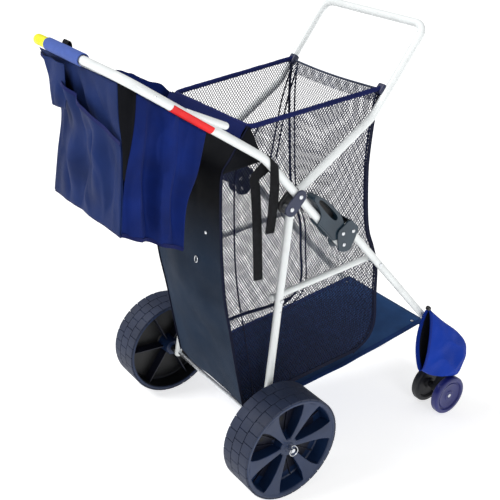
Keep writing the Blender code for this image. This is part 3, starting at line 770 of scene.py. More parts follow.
def build_wrap():
    """The red wrap on the right handle tube, the chair hook's rivet and two small rivets."""
    start, end = [at(HANDLE_X, y, upper_handle(y)) for y in WRAP_SPAN_Y]
    ahead = (end - start).normalized()
    up = OUT.cross(ahead).normalized()
    turns = [math.radians(-115.0 + 7.0 * k) for k in range(21)]
    outside = TUBE + WRAP_THICKNESS
    section = [(outside * math.cos(t), outside * math.sin(t)) for t in turns]
    section += [(TUBE * math.cos(t), TUBE * math.sin(t)) for t in reversed(turns)]
    bm = bmesh.new()
    loops = []
    for k in range(13):
        point = start.lerp(end, k / 12.0)
        loops.append([bm.verts.new(point + OUT * a + up * b) for a, b in section])
    skin(bm, loops)
    piece("red_wrap_film", bm, RED, "push_handle", "red_film", "red_wrap")
    head = dome(HANDLE_X + TUBE - 0.0010, 0.0042, 0.0026, at(0.0, -0.245, upper_handle(-0.245)))
    piece("hook_rivet_right", head, WHITE, "push_handle", "white_enamel")
    for side in (1, -1):
        x = side * (HANDLE_X + TUBE - 0.0012)
        spot = at(0.0, -0.399, upper_handle(-0.399))
        rivet = dome(x, 0.0030, 0.0016 * side, spot)
        piece(f"handle_rivet_{word(side)}", rivet, STEEL, "push_handle", "bright_steel")


def dome(x, radius, rise, spot):
    """A low round rivet head on a plane at x, rising along X."""
    profile = [(x - rise * 0.4, radius)]
    for k in range(7):
        turn = math.pi / 2 * k / 6.0
        size = radius * math.cos(turn) if k < 6 else 0.0
        profile.append((x + rise * math.sin(turn), size))
    return turned([(x - rise * 0.4, 0.0), *profile], spot, 28)


def stud(radius, rise, spot, axis):
    """A dome moved to a spot and turned a quarter round an axis, away from X."""
    bm = dome(0.0, radius, rise, Vector())
    turn = Matrix.Rotation(math.radians(-90.0), 4, axis)
    bmesh.ops.transform(bm, matrix=Matrix.Translation(spot) @ turn, verts=bm.verts)
    return bm


def build_bar_loop():
    """A short webbing loop that stands up behind the foam grip."""
    path = []
    normals = []
    centre = at(-0.078, CROSSBAR[0] + 0.017, CROSSBAR[1] + 0.006)
    for k in range(25):
        turn = math.radians(-70.0 + 230.0 * k / 24.0)
        out = Vector((0.0, math.cos(turn), math.sin(turn)))
        path.append(centre + Vector((0.0, out.y * 0.006, out.z * 0.0135)))
        normals.append(out)
    bm = bmesh.new()
    loops = []
    wide = OUT * 0.013
    for point, normal in zip(path, normals):
        lift = normal * 0.0007
        corners = (wide + lift, lift - wide, -wide - lift, wide - lift)
        loops.append([bm.verts.new(point + c) for c in corners])
    skin(bm, loops)
    piece("crossbar_loop", bm, BELT, "push_handle", "black_webbing")


# --- Pivots and latch ---------------------------------------------------------------------------

PLATE_X = (0.2386, 0.2432)
BLOCK_X = (0.2055, 0.2159)
BRACKET_X = (0.2065, 0.2484)
SLOT_X = (0.2113, 0.2434)
LEVER_X = (0.2119, 0.2428)
LEVER_RIB_X = 0.2431
CHANNEL_X = (0.2158, 0.2382)
LOOP_WEB_X = (0.2225, 0.2245)
PIN_DOME = 0.0016


def pin(name, side, spot, steps, body):
    """A turned pin with a domed outer head, standing for the CAD pin of the same name."""
    profile = [(side * steps[0][0], 0.0)]
    for x0, x1, radius in steps:
        profile += [(side * x0, radius), (side * x1, radius)]
    x, radius = steps[-1][1], steps[-1][2]
    for k in range(1, 6):
        turn = math.pi / 2 * k / 6.0
        profile.append((side * (x + PIN_DOME * math.sin(turn)), radius * math.cos(turn)))
    profile.append((side * (x + PIN_DOME), 0.0))
    bm = turned(profile, at(0.0, *spot), 28)
    piece(f"{name}_head", bm, STEEL, body, "bright_steel", name)


def build_main_pivot(side):
    """One side's outer plate, inner block, pivot pin and stop rivet."""
    side_word = word(side)
    plate = side_plate(side, hull_outline([(*PIVOT, 0.0175), (*STOP, 0.0190)]), PLATE_X)
    name = f"pivot_plate_{side_word}"
    soften(piece(f"{name}_cover", plate, SLATE, "rear_frame", "slate_plastic", name), 0.0016)
    outline = hull_outline([(*PIVOT, 0.0160), (*STOP, 0.0180), (0.029, 0.792, 0.0100)])
    name = f"pivot_block_{side_word}"
    block = side_plate(side, outline, BLOCK_X)
    soften(piece(f"{name}_body", block, BLACK, "rear_frame", "black_plastic", name), 0.0014)
    head = [(0.2064, 0.2430, 0.0036), (0.2430, 0.2440, 0.0056)]
    pin(f"pivot_pin_{side_word}", side, PIVOT, head, "rear_frame")
    spacer = [(0.2064, 0.2163, 0.0036), (0.2163, 0.2382, 0.0085)]
    spacer += [(0.2382, 0.2430, 0.0036), (0.2430, 0.2440, 0.0056)]
    pin(f"stop_rivet_{side_word}", side, STOP, spacer, "rear_frame")


def slanted_box(side, planes, along, across):
    """A box between two planes, two places along the leg's slope and two across it."""
    corners = [(0, 0), (1, 0), (1, 1), (0, 1)]
    outline = [on_leg(along[i], across[j]) for i, j in corners]
    return side_plate(side, outline, planes)


def build_bracket(side):
    """The hollow bracket round the top of a front leg, with its three pins."""
    side_word = word(side)
    name = f"latch_bracket_{side_word}"
    corners = [
        ((0.001, 0.0), 0.0195), (LEG_RIVET, 0.0175), (LEVER_PIVOT, 0.0175),
        ((0.004, 0.021), 0.0195), ((0.012, 0.006), 0.0180), ((-0.027, 0.046), 0.0135),
    ]
    circles = [(*on_leg(*spot), radius) for spot, radius in corners]
    body = side_plate(side, hull_outline(circles), BRACKET_X)
    bracket = piece(f"{name}_shell", body, TEAL, "front_leg", "teal_plastic", name)
    slot = slanted_box(side, SLOT_X, (-0.10, 0.10), (-0.10, 0.0545))
    carve(bracket, slot, "bracket_slot")
    soften(bracket, 0.0014)
    spots = [(0.0, 0.0), LEG_RIVET, LEVER_PIVOT]
    steps = [(0.2052, 0.2062, 0.0060), (0.2062, 0.2487, 0.0036), (0.2487, 0.2493, 0.0052)]
    for label, spot in zip(("fold_pin", "leg_rivet", "lever_pin"), spots):
        pin(f"{label}_{side_word}", side, on_leg(*spot), steps, "front_leg")


def build_lever(side):
    """The latch lever: a channel with a finger loop, a web in the loop coloured black as painted
    shade, and a raised rib.
    """
    outline = [
        (-0.114, -0.014), (-0.078, -0.014), (-0.038, -0.014), (-0.023, 0.004), (-0.019, 0.023),
        (-0.028, 0.031), (-0.047, 0.040), (-0.079, 0.047), (-0.132, 0.045), (-0.167, 0.038),
        (-0.179, 0.032), (-0.180, 0.025), (-0.174, 0.020), (-0.147, 0.016), (-0.125, 0.009),
        (-0.117, -0.004),
    ]
    loop = [
        (-0.160, 0.025), (-0.134, 0.0225), (-0.099, 0.0225), (-0.079, 0.025), (-0.072, 0.031),
        (-0.080, 0.038), (-0.108, 0.0390), (-0.143, 0.0370), (-0.162, 0.032),
    ]
    name = f"latch_lever_{word(side)}"
    shape = smooth_outline(outline, 110)
    body = side_plate(side, [on_leg(*p) for p in shape], LEVER_X)
    lever = piece(f"{name}_arm", body, TEAL, name, "teal_plastic", name)
    channel = slanted_box(side, CHANNEL_X, (-0.30, 0.05), (-0.05, 0.0140))
    carve(lever, channel, "lever_channel")
    shape = [on_leg(*p) for p in smooth_outline(loop, 60)]
    carve(lever, side_plate(side, shape, (0.20, 0.26)), "lever_loop")
    soften(lever, 0.0018)
    web = side_plate(side, shape, LOOP_WEB_X)
    # Painted shade: the web inside the finger loop is teal plastic, coloured black for the shade in
    # the loop.
    piece(f"{name}_web", web, BLACK, name, "teal_plastic")
    edge = []
    for along in (-0.120, -0.100, -0.080, -0.060, -0.040):
        edge.append(at(side * LEVER_RIB_X, *on_leg(along, -0.010 + 0.0008 * math.sin(along * 60))))
    piece(f"{name}_rib", tube(spline(edge, 16), 0.0011, 10), TEAL, name, "teal_plastic")


def build_brace_pins(side):
    """The brace's rear pin and front bushing, and a dimple in the rear leg."""
    side_word = word(side)
    rear = [(0.1750, 0.1762, 0.0060), (0.1762, 0.2164, 0.0036), (0.2164, 0.2172, 0.0058)]
    name = f"brace_pin_{side_word}"
    pin(name, side, BRACE_REAR, rear, "rear_frame")
    front = [(0.1941, 0.2160, 0.0080), (0.2160, 0.2380, 0.0036), (0.2380, 0.2384, 0.0050)]
    name = f"brace_bushing_{side_word}"
    pin(name, side, on_leg(BRACE_ON_LEG, LEG_RISE), front, "front_leg")
    x = side * (FOOT_X - 0.012 + 0.0086)
    lower = dome(x, 0.0026, side * 0.0014, at(0.0, 0.0167, 0.490))
    piece(f"leg_dimple_{side_word}", lower, STEEL, "rear_frame", "bright_steel")


# --- Wheels -------------------------------------------------------------------------------------

WHEEL_LOW, WHEEL_HIGH = [Vector(corner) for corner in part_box("rear_wheel_right")]
WHEEL_R = (WHEEL_HIGH.z - WHEEL_LOW.z) / 2.0
TREAD_DEPTH = 0.0042
TREAD_ROWS = 3
TREAD_BLOCKS = 30
TREAD_GROOVE = 0.0016
TREAD_STAGGER = (0.0, 0.5, 0.22)
WHEEL_BORE = 0.0064
INNER_WEB_DEPTH = 0.051
OUTER_WEB_DEPTH = 0.0455
CASTER_WIDTH = 0.025
CASTER_BORE = 0.0041
SPOKES = 6
SPOKE_TURN = math.radians(8.0)


def radial(turn):
    """The outward and the sideways direction at an angle round a wheel."""
    out = Vector((0.0, math.cos(turn), math.sin(turn)))
    across = Vector((0.0, -math.sin(turn), math.cos(turn)))
    return out, across


def wheel_spot(x, out, radius):
    return Vector((x, AXLE.y, AXLE.z)) + out * radius


def ring_block(bm, x0, x1, r0, r1, turn0, turn1):
    """A curved block between two planes, two radii and two angles of a rear wheel."""
    steps = 4
    loops = []
    for k in range(steps + 1):
        turn = turn0 + (turn1 - turn0) * k / steps
        out, _ = radial(turn)
        corners = ((x0, r0), (x1, r0), (x1, r1), (x0, r1))
        loops.append([bm.verts.new(wheel_spot(x, out, r)) for x, r in corners])
    skin(bm, loops)


def build_tread(side, name):
    """Rows of staggered blocks round the wheel."""
    width = (WHEEL_HIGH.x - WHEEL_LOW.x) / TREAD_ROWS
    pitch = 2.0 * math.pi / TREAD_BLOCKS
    gap = TREAD_GROOVE / WHEEL_R / 2.0
    base = WHEEL_R - TREAD_DEPTH - 0.001
    bm = bmesh.new()
    for row in range(TREAD_ROWS):
        x0 = side * (WHEEL_LOW.x + width * row + TREAD_GROOVE / 2)
        x1 = side * (WHEEL_LOW.x + width * (row + 1) - TREAD_GROOVE / 2)
        for k in range(TREAD_BLOCKS):
            start = pitch * (k + TREAD_STAGGER[row])
            ring_block(bm, x0, x1, base, WHEEL_R, start + gap, start + pitch - gap)
    tread = piece(f"{name}_tread", bm, TREAD, name, "wheel_plastic", angle=25.0)
    soften(tread, 0.0009, 2)


def build_rear_wheel(side):
    """A wide moulded wheel: carcass, staggered tread, flared spokes and a web, with near-black sheets
    of painted shade in its recesses and black discs of painted shade for the web's holes.
    """
    name = f"rear_wheel_{word(side)}"
    inner, outer = WHEEL_LOW.x, WHEEL_HIGH.x
    base = WHEEL_R - TREAD_DEPTH
    profile = [
        (inner, WHEEL_BORE), (inner, 0.022), (inner + 0.003, 0.024), (inner + 0.048, 0.027),
        (inner + INNER_WEB_DEPTH, 0.030), (inner + INNER_WEB_DEPTH, 0.130), (inner + 0.048, 0.1345),
        (inner + 0.003, 0.1375), (inner, 0.1395), (inner, base - 0.002), (inner + 0.002, base),
        (outer - 0.0025, base), (outer - 0.0008, base - 0.001), (outer, base - 0.003),
        (outer - 0.0004, 0.1395), (outer - 0.0022, 0.1355), (outer - 0.0050, 0.1335),
        (outer - 0.0420, 0.1300), (outer - 0.0450, 0.1270), (outer - OUTER_WEB_DEPTH, 0.036),
        (outer - 0.0430, 0.0310), (outer - 0.0165, 0.0270), (outer - 0.0145, 0.0240),
        (outer - 0.0140, 0.0150), (outer - 0.0120, 0.0130), (outer - 0.0120, WHEEL_BORE),
    ]
    body = turned([(side * x, r) for x, r in profile], AXLE, 120, closed=True)
    piece(f"{name}_carcass", body, TYRE, name, "wheel_plastic", name, angle=28.0)
    # Painted shade: thin near-black sheets over the inner and the outer recess stand for the shade
    # inside them.
    inner_recess_shade = [
        (inner + 0.003, 0.1371), (inner + 0.0478, 0.1341), (inner + 0.0506, 0.1298),
        (inner + 0.0506, 0.0303), (inner + 0.0478, 0.0274), (inner + 0.0484, 0.0266),
        (inner + 0.0514, 0.0297), (inner + 0.0514, 0.1303), (inner + 0.0484, 0.1349),
        (inner + 0.003, 0.1379),
    ]
    outer_recess_shade = [
        (outer - 0.0451, 0.1262), (outer - 0.0451, 0.0365), (outer - 0.0460, 0.0365),
        (outer - 0.0460, 0.1262),
    ]
    for label, finish, points in (("inner", BLACK, inner_recess_shade), ("outer", RECESS_SHADE, outer_recess_shade)):
        recess_shade = turned([(side * x, r) for x, r in points], AXLE, 96, closed=True)
        piece(f"{name}_{label}_liner", recess_shade, finish, name, "wheel_plastic", angle=28.0)
    build_tread(side, name)
    build_spokes(side, name, outer)
    build_web_detail(side, name, outer, inner)


def build_spokes(side, name, outer):
    """Spokes that flare from the hub to the rim, their faces dished towards the hub."""
    bm = bmesh.new()
    stations = [
        (0.022, 0.0075, 0.0160), (0.045, 0.0090, 0.0120), (0.075, 0.0125, 0.0080),
        (0.105, 0.0185, 0.0048), (0.125, 0.0265, 0.0030), (0.1365, 0.0360, 0.0022),
    ]
    for k in range(SPOKES):
        out, across = radial(2.0 * math.pi * k / SPOKES + SPOKE_TURN)
        loops = []
        for radius, half, dish in stations:
            face = wheel_spot(side * (outer - dish), out, radius)
            back = wheel_spot(side * (outer - 0.0450), out, radius)
            crown = OUT * side * 0.0016
            loop = [face + across * half, face + crown, face - across * half]
            loop += [back - across * half * 0.62, back + across * half * 0.62]
            loops.append([bm.verts.new(p) for p in loop])
        skin(bm, loops)
    spokes = piece(f"{name}_spokes", bm, TYRE, name, "wheel_plastic", angle=40.0)
    soften(spokes, 0.0018, 3, 40.0)


def build_web_detail(side, name, outer, inner):
    """A black disc of painted shade, standing for a round hole, and two thin ribs in each window, and
    radial ribs on the inner side; the ribs take the recess's dark shade tone.
    """
    holes = bmesh.new()
    ribs = bmesh.new()
    for k in range(SPOKES):
        turn = 2.0 * math.pi * (k + 0.5) / SPOKES + SPOKE_TURN
        out, across = radial(turn)
        centre = wheel_spot(side * (outer - 0.0452), out, 0.076)
        loop = []
        for a, b in circle(0.0068, 24):
            loop.append(holes.verts.new(centre + out * a + across * b))
        rim = [holes.verts.new(v.co + OUT * side * 0.0006) for v in loop]
        skin(holes, [loop, rim])
        for spread in (-0.16, 0.20):
            planes = (side * (outer - OUTER_WEB_DEPTH), side * (outer - 0.0405))
            add_rib(ribs, planes, (0.032, 0.1300), turn + spread, 0.0011)
    for k in range(SPOKES):
        planes = (side * (inner + 0.0515), side * (inner + 0.020))
        add_rib(ribs, planes, (0.025, 0.1360), 2.0 * math.pi * k / SPOKES, 0.0014)
    # Painted shade: the black discs stand for the dark seen through the web's holes, and the ribs
    # share the recess's shade tone.
    piece(f"{name}_web_hole_shades", holes, BLACK, name, "wheel_plastic")
    piece(f"{name}_ribs", ribs, RECESS_SHADE, name, "wheel_plastic")


def add_rib(bm, planes, radii, turn, half):
    """A thin radial fin on a wheel's web, between two X planes and two radii."""
    out, across = radial(turn)
    sideways = across * half
    corners = []
    for radius in radii:
        for x in planes:
            spot = wheel_spot(x, out, radius)
            corners.append([bm.verts.new(spot + sideways), bm.verts.new(spot - sideways)])
    (a, b), (c, d), (e, f), (g, h) = corners
    for face in ((a, c, d, b), (e, f, h, g), (a, e, g, c), (b, d, h, f), (c, g, h, d), (a, b, f, e)):
        bm.faces.new(face)


def build_caster(side):
    """Two moulded wheels and the bolt through them. The fork and the socket stay CAD nodes."""
    side_word = word(side)
    inner = abs(CASTER.x - SWIVEL.x) - CASTER_WIDTH / 2.0
    outer = inner + CASTER_WIDTH
    radius = CASTER.z
    profile = [
        (inner, CASTER_BORE), (inner, 0.015), (inner + 0.008, 0.018), (inner + 0.008, 0.046),
        (inner + 0.002, 0.0490), (inner, 0.051), (inner, radius - 0.006),
        (inner + 0.0017, radius - 0.0020), (inner + 0.005, radius), (outer - 0.005, radius),
        (outer - 0.0017, radius - 0.0020), (outer, radius - 0.006), (outer, 0.0520),
        (outer - 0.0008, 0.0500), (outer - 0.0055, 0.0475), (outer - 0.0060, 0.0440),
        (outer - 0.0038, 0.0420), (outer - 0.0070, 0.0300), (outer - 0.0062, 0.0170),
        (outer - 0.0040, 0.0145), (outer - 0.0040, CASTER_BORE),
    ]
    for place, outwards in (("outer", 1), ("inner", -1)):
        name = f"caster_wheel_{place}_{side_word}"
        points = [(side * (SWIVEL.x + outwards * x), r) for x, r in profile]
        wheel = turned(points, CASTER, 80, closed=True)
        finish = CASTER_FINISH if place == "outer" else DARK_CASTER
        piece(f"{name}_disc", wheel, finish, name, "caster_plastic", name, angle=30.0)
    rim = outer - 0.0040
    steps = [(-rim, 0.0), (-rim, 0.0037), (rim, 0.0037), (rim, 0.0062)]
    steps += [(rim + 0.0014, 0.0060), (rim + 0.0026, 0.0036), (rim + 0.0028, 0.0)]
    head = [(-x, r) for x, r in reversed(steps[3:])]
    profile = head + steps[2:]
    points = [(side * (SWIVEL.x + x), r) for x, r in profile]
    body = f"caster_fork_{side_word}"
    bolt = turned(points, CASTER, 28)
    piece(f"caster_bolt_{side_word}", bolt, STEEL, body, "bright_steel", f"caster_axle_{side_word}")


# --- Main bag -----------------------------------------------------------------------------------

REAR_EDGE = [(-0.104, 0.980), (-0.150, 0.905), (-0.172, 0.860), (-0.158, 0.703), (-0.130, 0.540),
             (-0.100, 0.430), (-0.066, 0.300), (-0.036, 0.192)]
FRONT_EDGE = [(0.291, 1.046), (0.289, 0.962), (0.302, 0.827), (0.332, 0.665), (0.366, 0.590),
              (0.391, 0.526), (0.404, 0.444), (0.421, 0.345), (0.405, 0.292), (0.355, 0.255)]
BAG_ROWS = 60
PIPING_RADIUS = 0.0062
TAPE_THICKNESS = 0.0016
FAR_SHIFT = 0.014
GUSSET_DEPTH = 0.155


def edge_curve(points):
    return spline([(0.0, y, z) for y, z in points], BAG_ROWS)


REAR_CURVE = edge_curve(REAR_EDGE)
FRONT_CURVE = edge_curve(FRONT_EDGE)


def curve_at(curve, fraction):
    place = min(max(fraction, 0.0), 1.0) * (len(curve) - 1)
    k = min(int(place), len(curve) - 2)
    return curve[k].lerp(curve[k + 1], place - k)


def bag_half_width(u, v):
    """The bag's half width at a fraction from rear to front and from rim to bottom."""
    rim = 0.166 + 0.012 * u
    body = 0.1680 + 0.0025 * math.sin(7.0 * v + 3.0 * u)
    blend = min(1.0, v * 4.0)
    return rim * (1.0 - blend) + body * blend


def side_point(side, u, v):
    spot = curve_at(REAR_CURVE, v).lerp(curve_at(FRONT_CURVE, v), u)
    loose = math.sin(math.pi * u) * math.sin(math.pi * min(1.0, v * 1.02))
    x = bag_half_width(u, v) - 0.006 * loose + ripple(spot, 9.0, 0.003, 2.0) * loose
    if side < 0:
        spot.y += FAR_SHIFT * v * (1.0 - u)
    return at(side * x, spot.y, spot.z)


def front_point(u, v):
    spot = curve_at(FRONT_CURVE, v)
    half = bag_half_width(1.0, v)
    x = half * (2.0 * u - 1.0)
    hollow = math.sin(math.pi * u)
    sag = 0.005 * hollow * max(0.0, 1.0 - v * 7.0)
    out = -0.006 * hollow * math.sin(math.pi * v) + ripple(Vector((x, 0, spot.z)), 8.0, 0.004, 5.0)
    return at(x, spot.y + out * hollow, spot.z - sag)


def rear_point(u, v):
    spot = curve_at(REAR_CURVE, v)
    half = bag_half_width(0.0, v)
    x = half * (2.0 * u - 1.0)
    hollow = math.sin(math.pi * u)
    far = (1.0 - u) * FAR_SHIFT * v
    wave = 0.006 * math.sin(5.5 * u + 4.0 * v) + crease(Vector((x, 1.0, spot.z)), 7.0, 0.022, 9.0)
    return at(x, spot.y - 0.014 * hollow * math.sin(math.pi * v) + wave * hollow + far, spot.z)


def bottom_point(u, v):
    rear = curve_at(REAR_CURVE, 1.0)
    front = curve_at(FRONT_CURVE, 1.0)
    spot = rear.lerp(front, v)
    x = bag_half_width(v, 1.0) * (2.0 * u - 1.0)
    far = (1.0 - u) * FAR_SHIFT * (1.0 - v)
    return at(x, spot.y + far, spot.z - 0.008 * math.sin(math.pi * u) * math.sin(math.pi * v))


def bag_piece(name, bm, finish, *nodes, slot="mesh_fabric", thickness=0.0):
    """A piece of the bag on the rear frame, with a mesh of its own and, if given, a thickness."""
    part = piece(name, bm, finish, "rear_frame", slot, *nodes)
    if thickness:
        thicken(part, thickness)
    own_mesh(part)


def bag_tape(name, path, normal, width, finish=TAPE):
    bag_piece(name, strip(path, normal, width, TAPE_THICKNESS), finish)


def build_bag():
    """The net sides, front and bottom, the solid rear panel, and their trim."""
    for side in (1, -1):
        bm = grid(lambda u, v: side_point(side, u, v), 44, BAG_ROWS)
        bag_piece(f"bag_side_{word(side)}", bm, NET_SIDE)
    bag_piece("bag_front", grid(front_point, 36, BAG_ROWS), NET_FRONT, "mesh_bag")
    bag_piece("bag_bottom", grid(bottom_point, 20, 24), NET_BOTTOM)
    bag_piece("bag_rear", grid(rear_point, 48, BAG_ROWS), REAR_CLOTH_WITH_SHADE, thickness=0.0012)
    build_bag_tapes()
    build_rim()
    build_rear_trim()


def build_bag_tapes():
    """Binding tape along the bag's edges and seams."""
    steps = fractions(48)
    for side in (1, -1):
        side_word = word(side)
        outwards = OUT * side
        path = [side_point(side, 1.0, v) + outwards * 0.0012 for v in steps]
        bag_tape(f"bag_front_tape_{side_word}", path, outwards, 0.011 if side > 0 else 0.008)
        ahead = Vector((0.0, 1.0, 0.1))
        inward = 0.470 if side > 0 else 0.435
        turned_in = [front_point(0.5 + side * inward, v) + ahead * 0.0010 for v in steps]
        bag_tape(f"bag_front_hem_{side_word}", turned_in, ahead, 0.005)
        path = [side_point(side, 0.0, v) + outwards * 0.0012 for v in steps]
        bag_tape(f"bag_rear_tape_{side_word}", path, outwards, 0.008)
        path = [side_point(side, 0.085, v) + outwards * 0.0010 for v in steps]
        bag_tape(f"bag_side_seam_{side_word}", path, outwards, 0.0035)
        level, wave = (0.985, 0.0) if side > 0 else (0.956, 0.006)
        path = [side_point(side, u, level + wave * math.sin(9.0 * u)) for u in steps]
        path = [spot + outwards * 0.0010 for spot in path]
        bag_tape(f"bag_bottom_tape_{side_word}", path, outwards, 0.012)
        build_gusset(side)
    path = [front_point(u, 0.0) + Vector((0.0, 0.0015, 0.0)) for u in steps]
    bag_tape("bag_front_top_hem", path, Vector((0.0, 1.0, 0.2)), 0.006, GREY_HEM)
    lift = Vector((0.0, -0.0022, 0.0))
    band = grid(lambda u, v: front_point(u, 0.004 + 0.036 * v) + lift, 40, 8)
    bag_piece("bag_front_net_hem", band, NET_HEM)
    for number, shift in enumerate((0.0, 0.021)):
        points = [(0.277, 1.018), (0.257, 0.934), (0.247, 0.847), (0.239, 0.763)]
        line = spline([(-0.1655, y + shift, z) for y, z in points], 30)
        line = [at(*p) for p in line]
        bag_tape(f"bag_left_fold_{number}", line, OUT, 0.0045)


def build_gusset(side):
    """Black cloth that closes the top rear corner of the bag's side."""
    corner = Vector((0.0, *RIM_REAR))
    low = Vector((0.0, -0.054, 0.893))

    def point(u, v):
        rear = curve_at(REAR_CURVE, GUSSET_DEPTH * v)
        front = corner.lerp(low, v)
        spot = rear.lerp(front, u)
        x = bag_half_width(0.25 * u, GUSSET_DEPTH * v) + 0.0016 + ripple(spot, 24.0, 0.003, 2.0) * u
        return at(side * x, spot.y, spot.z)

    bag_piece(f"bag_gusset_{word(side)}", grid(point, 16, 20), DARK_CLOTH_AND_SHADE, thickness=0.0012)


def build_rim():
    """The piped rim over its rod, and the plastic corner caps."""
    right = [at(0.180, *RIM_FRONT), at(0.166, *RIM_REAR)]
    path = rounded(mirrored(right), [0.018, 0.018])
    dense = even(path, 150)
    sizes = [PIPING_RADIUS + ripple(point, 60.0, 0.0008, 3.0) for point in dense]
    piece("bag_rim_piping", bar(dense, sizes, 16), PIPING, "rear_frame", "bright_steel", "bag_rim_rod")
    lean = math.atan2(HOOP_TOP[1] - HOOP_BEND[1], HOOP_TOP[0] - HOOP_BEND[0])
    up = (math.cos(lean), math.sin(lean))
    for side in (1, -1):
        y, z = RIM_FRONT[0] + 0.004, RIM_FRONT[1] - 0.004
        outline = []
        for a, b in ((-0.014, -0.010), (0.014, -0.010), (0.014, 0.009), (-0.014, 0.009)):
            outline.append((y + a * up[0] + b * up[1], z + a * up[1] - b * up[0]))
        cap = side_plate(side, outline, (0.1680, 0.1925))
        name = f"bag_corner_cap_{word(side)}"
        shell = piece(f"{name}_shell", cap, NAVY_CAP, "rear_frame", "slate_plastic", name)
        soften(shell, 0.005, 4)


def build_rear_trim():
    """The blue band over the rear rim, a small ring and a snap on the rear panel."""
    def band(u, v):
        top = at(0.0, RIM_REAR[0] - 0.0075, RIM_REAR[1] + 0.004)
        low = rear_point(u, 0.045)
        x = 0.168 * (2.0 * u - 1.0)
        spot = Vector((x, top.y, top.z)).lerp(low, v)
        bow = 0.003 * math.sin(math.pi * v)
        spot.y -= 0.004 + bow + ripple(spot, 22.0, 0.003, 4.0) * v
        return spot

    bag_piece("bag_rear_band", grid(band, 48, 10), BAND_CLOTH, thickness=0.0014)
    spot = rear_point(0.72, 0.47)
    path = []
    for k in range(33):
        turn = 2.0 * math.pi * k / 32.0
        path.append(spot + Vector((0.0065 * math.cos(turn), -0.0030, 0.0085 * math.sin(turn))))
    ring_mesh = section_sweep(path, circle(0.0012, 8), caps=False)
    bag_piece("rear_ring", ring_mesh, STEEL, slot="bright_steel")
    spot = rear_point(0.84, 0.36) + Vector((0.0, -0.0015, 0.0))
    bag_piece("rear_snap", stud(0.0045, 0.0016, spot, "Z"), STEEL, slot="bright_steel")


# --- Base platform ------------------------------------------------------------------------------

BASE_HALF_WIDTH = 0.176
BASE_WRAP_RADIUS = 0.0098


def base_point(u, v):
    """u runs from the left to the right edge, v from the front bar to the axle."""
    left = curve_at(BASE_LEFT, v)
    right = curve_at(BASE_RIGHT, v)
    spot = left.lerp(right, u)
    x = BASE_HALF_WIDTH * (2.0 * u - 1.0)
    sag = 0.010 * math.sin(math.pi * u) * math.sin(math.pi * v)
    crease = ripple(Vector((x, spot.y, 0.0)), 10.0, 0.004, 6.0) * math.sin(math.pi * v)
    return at(x, spot.y, spot.z - sag + crease)


BASE_FRONT = on_leg(FRONT_BAR, LEG_RISE)
BASE_LEFT = edge_curve([
    (BASE_FRONT[0], BASE_FRONT[1] + 0.0095), (0.391, 0.248), (0.158, 0.205), (0.045, 0.180),
    (0.006, 0.1600),
])
BASE_RIGHT = edge_curve([
    (BASE_FRONT[0], BASE_FRONT[1] + 0.0095), (0.381, 0.236), (0.158, 0.198), (0.045, 0.175),
    (0.006, 0.1600),
])


def fold_base(obj):
    """Gives the piece a mesh of its own."""
    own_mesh(obj)


def build_base():
    """The sheet under the bag, its turn round the front bar, its side hems and studs."""
    sheet = piece(
        "base_sheet", grid(base_point, 40, 60), BASE_CLOTH, "rear_frame", "navy_fabric",
        "base_platform",
    )
    thicken(sheet, 0.0014)
    fold_base(sheet)

    def hem(u, v):
        turn = math.radians(90.0 - 265.0 * v)
        y = BASE_FRONT[0] + BASE_WRAP_RADIUS * math.cos(turn)
        z = BASE_FRONT[1] + BASE_WRAP_RADIUS * math.sin(turn)
        return at(BASE_HALF_WIDTH * (2.0 * u - 1.0), y, z)

    wrap = piece("base_front_hem", grid(hem, 40, 14), BASE_CLOTH, "front_leg", "navy_fabric")
    thicken(wrap, 0.0012)
    steps = [0.012 + 0.976 * k / 60.0 for k in range(61)]
    up = Vector((0.0, 0.0, 1.0))
    for side, u in ((1, 0.975), (-1, 0.025)):
        path = [base_point(u, v) + up * 0.0014 for v in steps]
        tape = strip(path, up, 0.016, TAPE_THICKNESS)
        edge = piece(f"base_hem_{word(side)}", tape, BASE_HEM, "rear_frame", "navy_fabric")
        fold_base(edge)
        spot = base_point(0.93 if side > 0 else 0.07, 0.045) + up * 0.002
        button = stud(0.0048, 0.0018, spot, "Y")
        name = f"base_stud_{word(side)}"
        fold_base(piece(name, button, STEEL, "rear_frame", "bright_steel"))


# --- Tote ---------------------------------------------------------------------------------------

def space_curve(points):
    return spline(points, 40)


TOTE_LEFT = space_curve([
    (-0.189, -0.463, 1.103), (-0.183, -0.430, 1.030), (-0.168, -0.414, 0.956),
    (-0.165, -0.424, 0.857), (-0.165, -0.432, 0.755),
])
TOTE_RIGHT = space_curve([
    (0.188, -0.461, 1.108), (0.193, -0.458, 1.035), (0.206, -0.455, 0.975),
    (0.2105, -0.453, 0.900), (0.211, -0.452, 0.778),
])
TOTE_SIDE_REAR = space_curve([
    (0.212, -0.430, 1.090), (0.212, -0.431, 1.035), (0.2115, -0.436, 0.985),
    (0.211, -0.449, 0.900), (0.211, -0.452, 0.778),
])
TOTE_FRONT = [(-0.253, 0.993), (-0.268, 0.900), (-0.291, 0.826), (-0.292, 0.718)]
TOTE_FRONT_RIGHT = space_curve([(0.212, y, z) for y, z in TOTE_FRONT])
TOTE_FRONT_LEFT = space_curve([(-0.212, y, z) for y, z in TOTE_FRONT])


def tote_back(u, v):
    """The tote's rear panel: u from left to right, v from the crossbar down."""
    spot = curve_at(TOTE_LEFT, v).lerp(curve_at(TOTE_RIGHT, v), u)
    loose = math.sin(math.pi * u) ** 0.5 * min(1.0, 4.0 * v)
    folds = 0.008 * math.sin(15.0 * u + 1.5 * v) * v * min(1.0, 0.25 + 4.0 * (1.0 - v))
    sharp = crease(Vector((spot.x * 1.6, 0.0, spot.z * 0.8)), 9.0, 0.030, 1.0)
    spot.y += (folds + sharp * min(1.0, 0.15 + 5.0 * (1.0 - v))) * loose
    return at(*spot)


